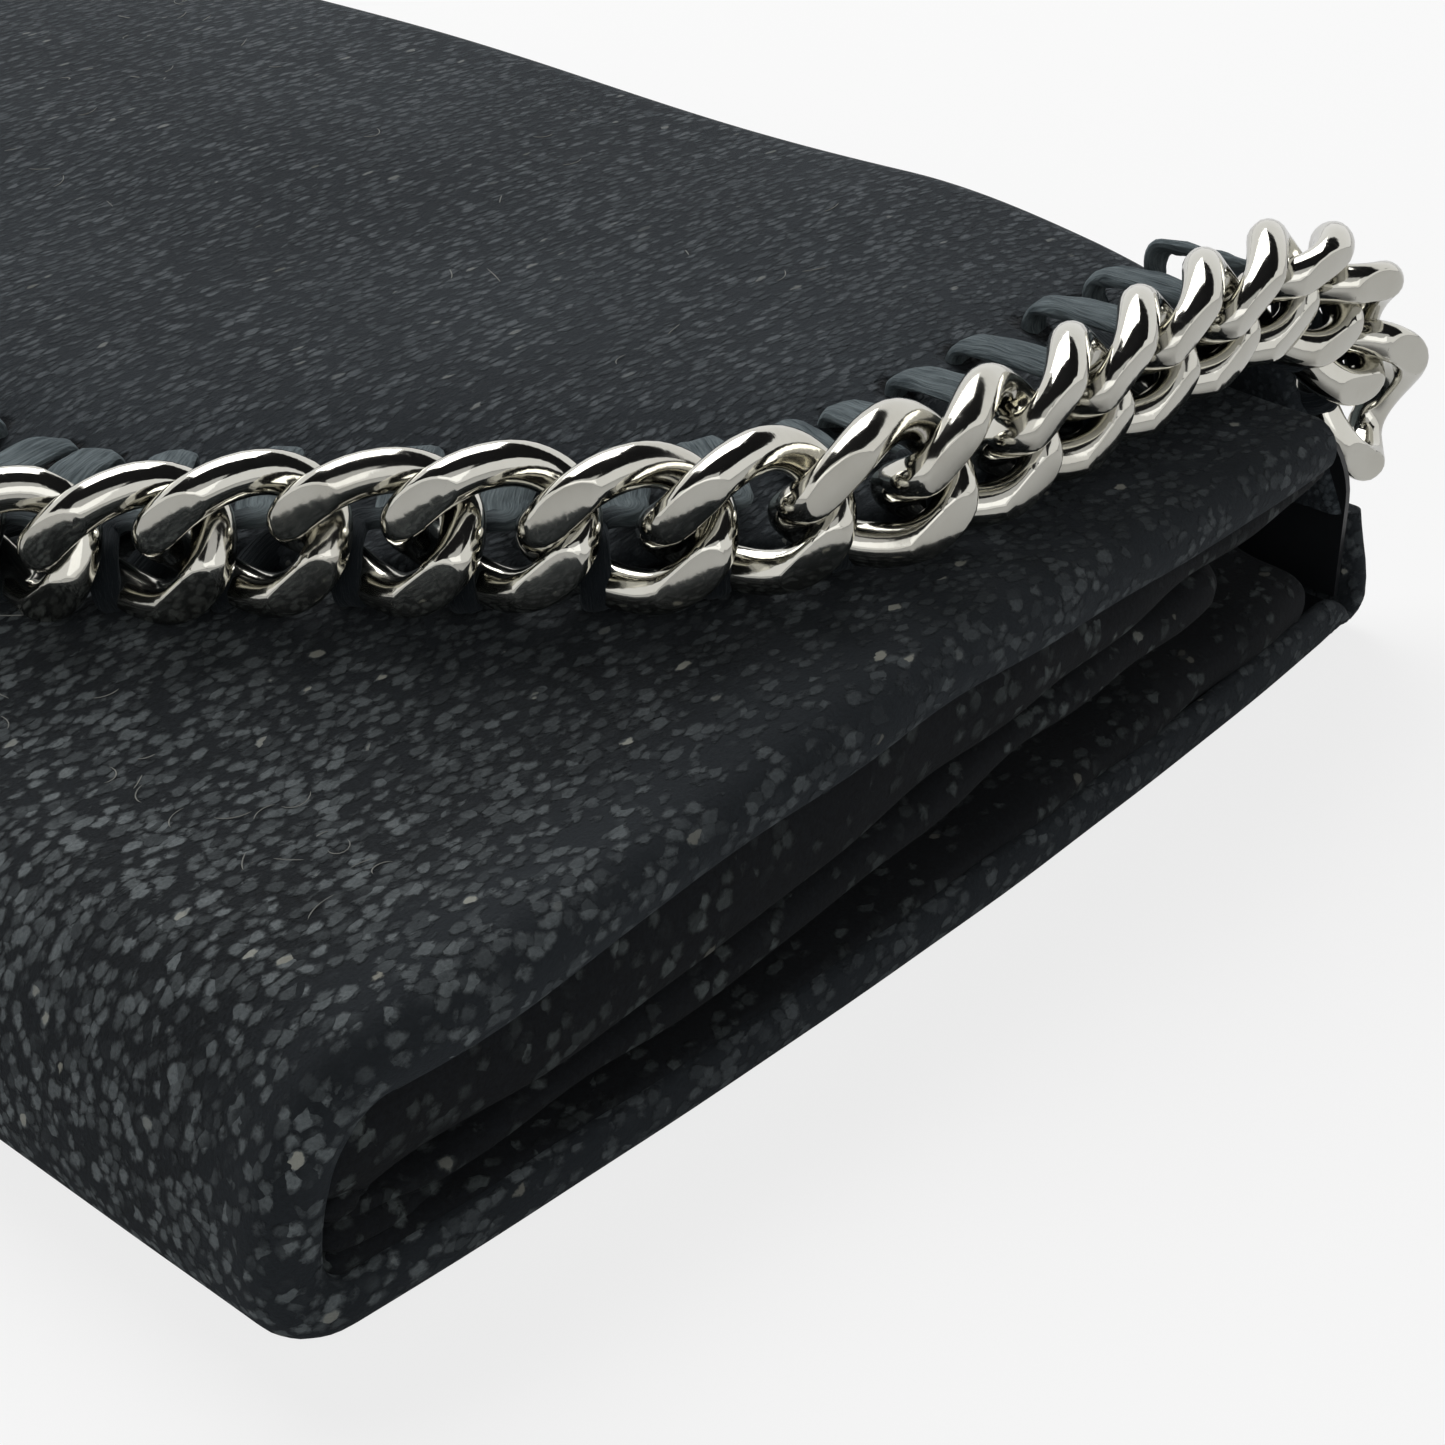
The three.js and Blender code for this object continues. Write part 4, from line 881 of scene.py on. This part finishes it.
def gussetSheet(sign):
    half = gussetValues["half"]
    rear = gussetValues["rear"]
    y = np.concatenate([np.linspace(gussetValues["front"], rear - half, 80),
                        rear - rimSteps(half)[::-1][1:]])
    section = splineAlong(gussetSection(y), 150)
    x = sign * section[..., 0]
    depth = np.broadcast_to(y[:, None], x.shape)
    middle = np.stack([x, depth, section[..., 1]], axis=-1)
    normal = unit(np.cross(np.gradient(middle, axis=1), np.gradient(middle, axis=0))) * sign
    wave = ripple(21 + sign, y[:, None], section[..., 1] * 1.5, gussetValues["waveLength"],
                  gussetValues["wave"])
    walk = np.cumsum(np.concatenate([0 * x[:, :1], np.hypot(np.diff(x, axis=1),
                     np.diff(section[..., 1], axis=1))], axis=1), axis=1)
    border = np.minimum(np.minimum(walk, walk[:, -1:] - walk),
                        np.minimum(depth - y[0], rear - depth))
    thickness = rimHalf(border, half)
    return middle + normal * (wave * smooth(border, 0, 3))[..., None], normal, thickness


for sign, side in ((1, "Right"), (-1, "Left")):
    middle, normal, thickness = gussetSheet(sign)
    points, faces = shellPoints(middle, normal, thickness)
    makePiece("gusset" + side, points, faces, gussetSuede, "body",
              ["gusset_" + side.lower()])
print("gussets made")


# curb chain

def curbLink():
    # oval of round wire: superellipse centre line, twisted along its length, swept as a tube,
    # then ground flat by two planes; returns points and faces of one link at the origin
    wireRadius = chainValues["wire"] / 2
    halfSpan = chainValues["span"] / 2
    halfWidth = (chainValues["width"] - chainValues["wire"]) / 2
    power = 2 / 2.4
    rings, sides = 60, 20
    angle = np.linspace(0, 2 * math.pi, rings, endpoint=False) + 0.03
    c, s = np.cos(angle), np.sin(angle)
    along = halfSpan * np.sign(c) * np.abs(c) ** power
    across = halfWidth * np.sign(s) * np.abs(s) ** power
    turn = math.radians(chainValues["twist"]) * np.clip(along / chainValues["twistSpan"], -1.3, 1.3)
    centre = np.stack([along, across * np.cos(turn), -across * np.sin(turn)], axis=-1)
    tangent = unit(np.roll(centre, -1, axis=0) - np.roll(centre, 1, axis=0))
    radial = unit(centre - np.sum(centre * tangent, axis=1, keepdims=True) * tangent)
    side = np.cross(tangent, radial)
    around = np.linspace(0, 2 * math.pi, sides, endpoint=False)[None, :, None]
    tube = centre[:, None] + wireRadius * (radial[:, None] * np.cos(around)
                                           + side[:, None] * np.sin(around))
    work = bmesh.new()
    vertices = [work.verts.new(point) for point in tube.reshape(-1, 3)]
    for quad in gridFaces(rings, sides, closeRows=True, closeColumns=True):
        work.faces.new([vertices[k] for k in quad])
    for sign in (1, -1):
        cut = bmesh.ops.bisect_plane(work, geom=work.verts[:] + work.edges[:] + work.faces[:],
                                     plane_co=(0, 0, sign * chainValues["facet"]),
                                     plane_no=(0, 0, sign), clear_outer=True)
        edges = [item for item in cut["geom_cut"] if isinstance(item, bmesh.types.BMEdge)]
        filled = bmesh.ops.edgeloop_fill(work, edges=edges)
        bmesh.ops.bevel(work, geom=list({edge for face in filled["faces"] for edge in face.edges}),
                        offset=0.13, segments=2, affect="EDGES", profile=0.5)
    bmesh.ops.triangulate(work, faces=[face for face in work.faces if len(face.verts) > 4])
    bmesh.ops.recalc_face_normals(work, faces=work.faces)
    work.verts.index_update()
    points = np.array([vertex.co[:] for vertex in work.verts])
    faces = [[vertex.index for vertex in face.verts] for face in work.faces]
    work.free()
    return points, faces


linkPoints, linkFaces = curbLink()
draw = np.random.default_rng(31)
leanNoise = draw.normal(0, 2.2, chainValues["links"])
pitchNoise = draw.normal(0, 2.0, chainValues["links"])
shiftNoise = draw.normal(0, 0.12, (chainValues["links"], 3))
centre, along, outward, facing, across = chainFrame(linkAt, chainLean(linkAt) + leanNoise)
tip = np.radians(pitchNoise)[:, None]
alongTipped = along * np.cos(tip) + across * np.sin(tip)
acrossTipped = across * np.cos(tip) - along * np.sin(tip)
axes = np.stack([alongTipped, acrossTipped, facing], axis=1)
chainPoints = np.einsum("pk,lkc->lpc", linkPoints, axes) + (centre + shiftNoise)[:, None]
chainFaces = [[vertex + number * len(linkPoints) for vertex in face]
              for number in range(chainValues["links"]) for face in linkFaces]
makePiece("curbChain", chainPoints, chainFaces, nickel, "flap",
          ["chain_pair_%02d" % (pair + 1) for pair in range(chainValues["links"] // 2)],
          sharpAngle=55)
print("chain made,", len(linkFaces), "faces a link")


# laces

laceValues = {"width": 3.1, "thickness": 0.85, "inset": 9.2, "shift": 2.0, "fray": 0.10,
              "steps": 72, "sides": 14}


def laceStitches(first, last, seed):
    # every stitch: out of its slot, over the border, through the link, round its lower wire and
    # back under the flap to the next slot; controls are smoothed into one ribbon per stitch
    index = np.arange(first, last + 1)
    follow = np.minimum(index + 1, last)
    centre, along, outward, facing, across = chainFrame(linkAt[index], chainLean(linkAt[index]))
    foot = footOf(linkAt[index])
    draw = np.random.default_rng(seed)
    slotDepth = chainValues["standoff"] + laceValues["inset"]
    over = wallet["flapThickness"] / 2 + laceValues["thickness"] / 2 + 0.05

    def beside(n, s, height, rows=slice(None)):
        footX, footQ = foot[rows, 0], foot[rows, 1]
        outX, outY = outward[rows, 0], outward[rows, 1]
        return bend(footX + outX * n + outY * s, footQ + outY * n - outX * s, height)

    def inLink(n, w):
        return centre + facing * n + across * w + along * laceValues["shift"]

    # the lower wire of the link where its twist brings it nearest to the flap
    wireTurn = math.radians(chainValues["twist"]) * laceValues["shift"] / chainValues["twistSpan"]
    wireReach = (chainValues["width"] - chainValues["wire"]) / 2
    wireN, wireW = -wireReach * math.sin(wireTurn), wireReach * math.cos(wireTurn)
    loop = chainValues["wire"] / 2 + laceValues["thickness"] / 2
    puff = draw.uniform(0.15, 0.5, len(index))
    skew = draw.normal(0, 0.35, len(index))
    controls = [
        (beside(-slotDepth + 0.5, skew, -over - 0.2), 0.75),
        (beside(-slotDepth, skew, -0.2), 0.75),
        (beside(-slotDepth + 0.5, skew, over * 0.85), 0.85),
        (beside(-slotDepth + 2.2, skew * 0.7, over + puff * 0.7), 1.0),
        (beside(-slotDepth + 4.6, skew * 0.4, over + puff), 1.05),
        (beside(-slotDepth + 7.0, 0 * skew, over + puff * 0.7), 0.95),
        (beside(-chainValues["standoff"] - 0.9, 0 * skew, over + 0.2), 0.8),
        (inLink(wireN - 1.1, 0.7), 0.7),
        (inLink(wireN + 0.6, 1.1), 0.6),
        (inLink(wireN + loop * 0.85, wireW - loop * 0.55), 0.6),
        (inLink(wireN + loop, wireW + 0.1), 0.6),
        (inLink(wireN + loop * 0.6, wireW + loop * 0.75), 0.6),
        (inLink(wireN - 0.8, wireW + loop * 0.9), 0.65),
        (beside(-chainValues["standoff"] - 2.2, 0 * skew, -over - 0.2), 0.8),
        (beside(-slotDepth + 5, 0 * skew - 1.4, -over - 0.1), 0.85),
        (beside(-slotDepth + 1.5, 0 * skew - 3, -over - 0.1), 0.8)]
    middle = np.stack([point for point, width in controls], axis=1)
    widths = np.array([width for point, width in controls]) * laceValues["width"] / 2
    steps, sides = laceValues["steps"], laceValues["sides"]
    middle = splineAlong(middle, steps)
    width = splineAlong(np.broadcast_to(widths[None, :, None], (len(index), len(widths), 1)), steps)
    tangent = unit(np.gradient(middle, axis=1))
    side = unit(along[:, None]
                - np.sum(along[:, None] * tangent, axis=-1, keepdims=True) * tangent)
    up = np.cross(side, tangent)
    turn = np.linspace(0, 2 * math.pi, sides, endpoint=False)
    flat = np.sign(np.cos(turn)) * np.abs(np.cos(turn)) ** 0.7
    tall = np.sign(np.sin(turn)) * np.abs(np.sin(turn)) ** 0.8
    walk = np.linspace(0, 26, steps)  # about the length of a stitch in mm, used by the finish
    fray = ripple(seed + 1, walk[None, :, None] * 1.6 + 40 * index[:, None, None],
                  flat[None, None, :] * 2.2, 3.4, laceValues["fray"])
    closed = np.ones(steps)
    closed[[0, -1]] = 0
    closed[[1, -2]] = 0.8
    scale = closed[None, :, None]
    rings = middle[:, :, None] \
        + side[:, :, None] * ((flat[None, None] * width * scale)[..., None]) \
        + up[:, :, None] * ((tall[None, None] * (laceValues["thickness"] / 2 + fray) * scale)
                            [..., None])
    uv = np.stack(np.broadcast_arrays(flat[None, None] * width + 10.0 * index[:, None, None],
                                      walk[None, :, None] + 0 * width), axis=-1)
    faces = np.concatenate([gridFaces(steps, sides, number * steps * sides, closeColumns=True)
                            for number in range(len(index))])
    return rings, faces, uv


laceRuns = {"laceRight": (0, 15, 41, "lace_right"), "laceFront": (16, 29, 43, "lace_front"),
            "laceLeft": (30, 45, 45, "lace_left")}
for name, (first, last, seed, node) in laceRuns.items():
    points, faces, uv = laceStitches(first, last, seed)
    makePiece(name, points, faces, laceSuede, "flap", [node], uv)
print("laces made")


# finishes of the parts that stay as the model has them

hardNodes = ("zip_teeth_", "zip_slider", "zip_puller", "snap_")
for name, node in frame["nodes"].items():
    if name.startswith(hardNodes):
        node.data.materials.clear()
        node.data.materials.append(nickel)


# soft inner layers

layerValues = {"finest": 4.0, "wave": 0.12, "waveLength": 30}


def fineLayer(name):
    # merged copy of the model's solid, its long edges halved until it can bend softly
    work = bmesh.new()
    work.from_mesh(frame["nodes"][name].data)
    bmesh.ops.remove_doubles(work, verts=work.verts, dist=2e-6)
    for _ in range(6):
        long = [edge for edge in work.edges if edge.calc_length() > layerValues["finest"] * mm]
        if not long:
            break
        bmesh.ops.subdivide_edges(work, edges=long, cuts=1)
        bmesh.ops.triangulate(work, faces=[face for face in work.faces if len(face.verts) > 3])
    work.verts.index_update()
    points = np.array([vertex.co[:] for vertex in work.verts]) / mm
    faces = [[vertex.index for vertex in face.verts] for face in work.faces]
    work.free()
    return points, faces


def coverLayerShift(points):
    # the lining moves with the cover over it
    x, y, z = points.T
    shift = endSink(x, y, z)
    shift[:, 2] += coverWave(np.clip(x, -84, 84), y, z)
    return shift


def innerShift(points):
    x, y, z = points.T
    wave = ripple(51, x, y, layerValues["waveLength"], layerValues["wave"])
    return np.stack([0 * x, 0 * x, wave * smooth(z, 2, 5)], axis=-1)


def flapLayerShift(points):
    # the flap's layers keep under its cover: nearest place of its profile, then along its normal
    x, y, z = points.T
    away = np.hypot(y[:, None] - profileLine[None, :, 0], z[:, None] - profileLine[None, :, 1])
    nearest = np.argmin(away, axis=1)
    q = profileQ[nearest]
    height = flapHeight(x, q, borderPlace(x, q)[1])
    tangent = profileTangent[nearest]
    lower = 0.6 * smooth(z, 14, 18)
    return np.stack([0 * x, -height * tangent[:, 1], height * tangent[:, 0] - lower], axis=-1)


layers = {"body_lining": (lining, "lining", coverLayerShift),
          "spine_lining": (lining, "lining", innerShift),
          "flap_lining": (lining, "lining", flapLayerShift),
          "flap_board": (board, "board", flapLayerShift),
          "pocket_": (lining, "lining", innerShift),
          "card_leaf_": (lining, "lining", innerShift),
          "slip_pocket": (lining, "lining", innerShift),
          "zip_tape_": (tape, "tape", innerShift)}
bodyOf = {node: body for body, nodes in frame["record"]["behaviour"]["bodies"].items()
          for node in nodes}
for name in sorted(frame["nodes"]):
    for start, (material, slot, shift) in layers.items():
        if name.startswith(start):
            points, faces = fineLayer(name)
            words = name.split("_")
            makePiece(words[0] + "".join(word.capitalize() for word in words[1:]) + "Layer",
                      points + shift(points), faces, material, bodyOf[name], [name],
                      sharpAngle=35)
print("inner layers made")


# stray fibres

fibreValues = {"front": 70, "flap": 50, "length": (0.9, 2.6), "radius": 0.035, "steps": 9,
               "sides": 4, "low": (0.16, 0.17, 0.17), "high": (0.42, 0.42, 0.38)}
fibreMaterial, shader = newMaterial("strayFibre")
tones = shader.noise(shader.add("ShaderNodeTexCoord", output="Object"), 900, 2)
shader.surface({"Base Color": shader.mixColour(tones, fibreValues["low"], fibreValues["high"]),
                "Roughness": 0.8})


def strayFibres(name, seed, count, height, box, body):
    # thin four-sided hairs: a bent line over the surface, its ends lifted a little
    draw = np.random.default_rng(seed)
    x, y = (draw.uniform(low, high, count) for low, high in box)
    turn = draw.uniform(0, 2 * math.pi, count)
    length = draw.uniform(*fibreValues["length"], count)
    curl = draw.normal(0, 1.0, count)
    steps, sides = fibreValues["steps"], fibreValues["sides"]
    share = np.linspace(0, 1, steps)[None, :]
    way = turn[:, None] + curl[:, None] * (share - 0.5) * 1.6
    pathX = x[:, None] + np.cumsum(np.cos(way), axis=1) * length[:, None] / steps
    pathY = y[:, None] + np.cumsum(np.sin(way), axis=1) * length[:, None] / steps
    pathZ = height(pathX, pathY) + 0.02 + draw.uniform(0.05, 0.3, count)[:, None] * share ** 2
    around = np.linspace(0, 2 * math.pi, sides, endpoint=False)[None, None, :]
    thin = fibreValues["radius"] * np.sqrt(np.clip(1 - (2 * share - 1) ** 4, 0.02, 1))[..., None]
    rings = np.stack([pathX[..., None] - np.sin(way)[..., None] * thin * np.cos(around),
                      pathY[..., None] + np.cos(way)[..., None] * thin * np.cos(around),
                      pathZ[..., None] + thin * np.sin(around)], axis=-1)
    each = steps * sides
    walls = [gridFaces(steps, sides, each * number, closeColumns=True) for number in range(count)]
    start = each * np.arange(count)[:, None]
    around = np.arange(sides)
    ends = np.concatenate([start + around[::-1], start + each - sides + around])
    makePiece(name, rings, np.concatenate(walls + [ends]), fibreMaterial, body)


strayFibres("frontFibres", 61, fibreValues["front"],
            lambda x, y: frontHeight(y) + coverWave(x, y, 0 * y + 17), ((-88, 88), (-40, -31)),
            "body")
strayFibres("flapFibres", 63, fibreValues["flap"],
            lambda x, y: bend(x, y - wallet["flapFront"],
                              flapHeight(x, y - wallet["flapFront"], 0 * x + 30)
                              + wallet["flapThickness"] / 2)[..., 2],
            ((-66, 66), (2, 38)), "flap")
print("fibres made")


# stage, camera and lamps

stageValues = {"floor": (0.9, 0.9, 0.9), "floorWhite": 0.8, "floorReach": 3,
               "card": (0.03, 0.03, 0.032), "cardReach": 1.6, "cardHeight": 1.3,
               "worldLight": 0.35, "keyPower": 10.0, "fillPower": 1.6}
cameraValues = {"place": (174.209, -105.694, 92.274), "down": 30.732, "turn": 41.993,
                "lens": 67.905, "sensor": 36}


def flatSheet(name, corners, material):
    mesh = bpy.data.meshes.new(name)
    mesh.from_pydata(corners, [], [(0, 1, 2, 3)])
    mesh.materials.append(material)
    sheet = bpy.data.objects.new(name, mesh)
    bpy.context.scene.collection.objects.link(sheet)


# the camera sees the floor as four parts of its own white and one of plain diffuse white, which
# keeps a soft shadow; everything else sees the diffuse white alone
floorMaterial, shader = newMaterial("paleFloor")
lightPath = shader.add("ShaderNodeLightPath")
diffuse = shader.add("ShaderNodeBsdfDiffuse", {}, {"Color": stageValues["floor"]})
white = shader.add("ShaderNodeEmission", {}, {"Color": (1.0, 1.0, 1.0), "Strength": 1.0})
floorMix = shader.add("ShaderNodeMixShader", {}, {
    "Fac": lightPath * stageValues["floorWhite"], 1: diffuse, 2: white})
shader.add("ShaderNodeOutputMaterial", {}, {"Surface": floorMix})
reach = stageValues["floorReach"]
flatSheet("floor", [(-reach, -reach, 0), (reach, -reach, 0), (reach, reach, 0),
                    (-reach, reach, 0)], floorMaterial)

# dark card over the lamps, which the polished metal mirrors and the camera doesn't see
cardMaterial, shader = newMaterial("darkCard")
lightPath = shader.add("ShaderNodeLightPath")
dark = shader.add("ShaderNodeBsdfDiffuse", {}, {"Color": stageValues["card"]})
clear = shader.add("ShaderNodeBsdfTransparent", {}, {})
cardMix = shader.add("ShaderNodeMixShader", {}, {"Fac": lightPath, 1: dark, 2: clear})
shader.add("ShaderNodeOutputMaterial", {}, {"Surface": cardMix})
reach, high = stageValues["cardReach"], stageValues["cardHeight"]
flatSheet("overheadCard", [(-reach, -reach, high), (-reach, reach, high), (reach, reach, high),
                           (reach, -reach, high)], cardMaterial)

world = bpy.data.worlds.new("paleRoom")
bpy.context.scene.world = world
shader = Shader(world)
path = shader.add("ShaderNodeLightPath")
seen = path.output("Is Camera Ray").math("MAXIMUM", path.output("Is Camera Ray"),
                                         path.output("Is Glossy Ray"))
seen = seen.math("MAXIMUM", seen, path.output("Is Transmission Ray"))
strength = seen * (1 - stageValues["worldLight"]) + stageValues["worldLight"]
background = shader.add("ShaderNodeBackground", {}, {"Color": (1.0, 1.0, 1.0),
                                                     "Strength": strength})
shader.add("ShaderNodeOutputWorld", {}, {"Surface": background})

cameraData = bpy.data.cameras.new("camera")
cameraData.lens = cameraValues["lens"]
cameraData.sensor_width = cameraValues["sensor"]
camera = bpy.data.objects.new("camera", cameraData)
camera.location = [value * mm for value in cameraValues["place"]]
camera.rotation_euler = (math.radians(90 - cameraValues["down"]), 0,
                         math.radians(cameraValues["turn"]))
bpy.context.scene.collection.objects.link(camera)
bpy.context.scene.camera = camera


def softLamp(name, place, size, power):
    # square lamp in metres, turned to the wallet
    data = bpy.data.lights.new(name, "AREA")
    data.shape = "SQUARE"
    data.size = size
    data.energy = power
    lamp = bpy.data.objects.new(name, data)
    lamp.location = place
    away = np.array(place) - (0, 0, 0.015)
    flat = math.hypot(away[0], away[1])
    lamp.rotation_euler = (math.atan2(flat, away[2]), 0, math.atan2(away[1], away[0]) + math.pi / 2)
    bpy.context.scene.collection.objects.link(lamp)


softLamp("keyLamp", (-0.55, 0.35, 0.85), 0.8, stageValues["keyPower"])
softLamp("fillLamp", (0.7, -0.6, 0.6), 0.9, stageValues["fillPower"])

bpy.context.scene.view_settings.view_transform = "Standard"
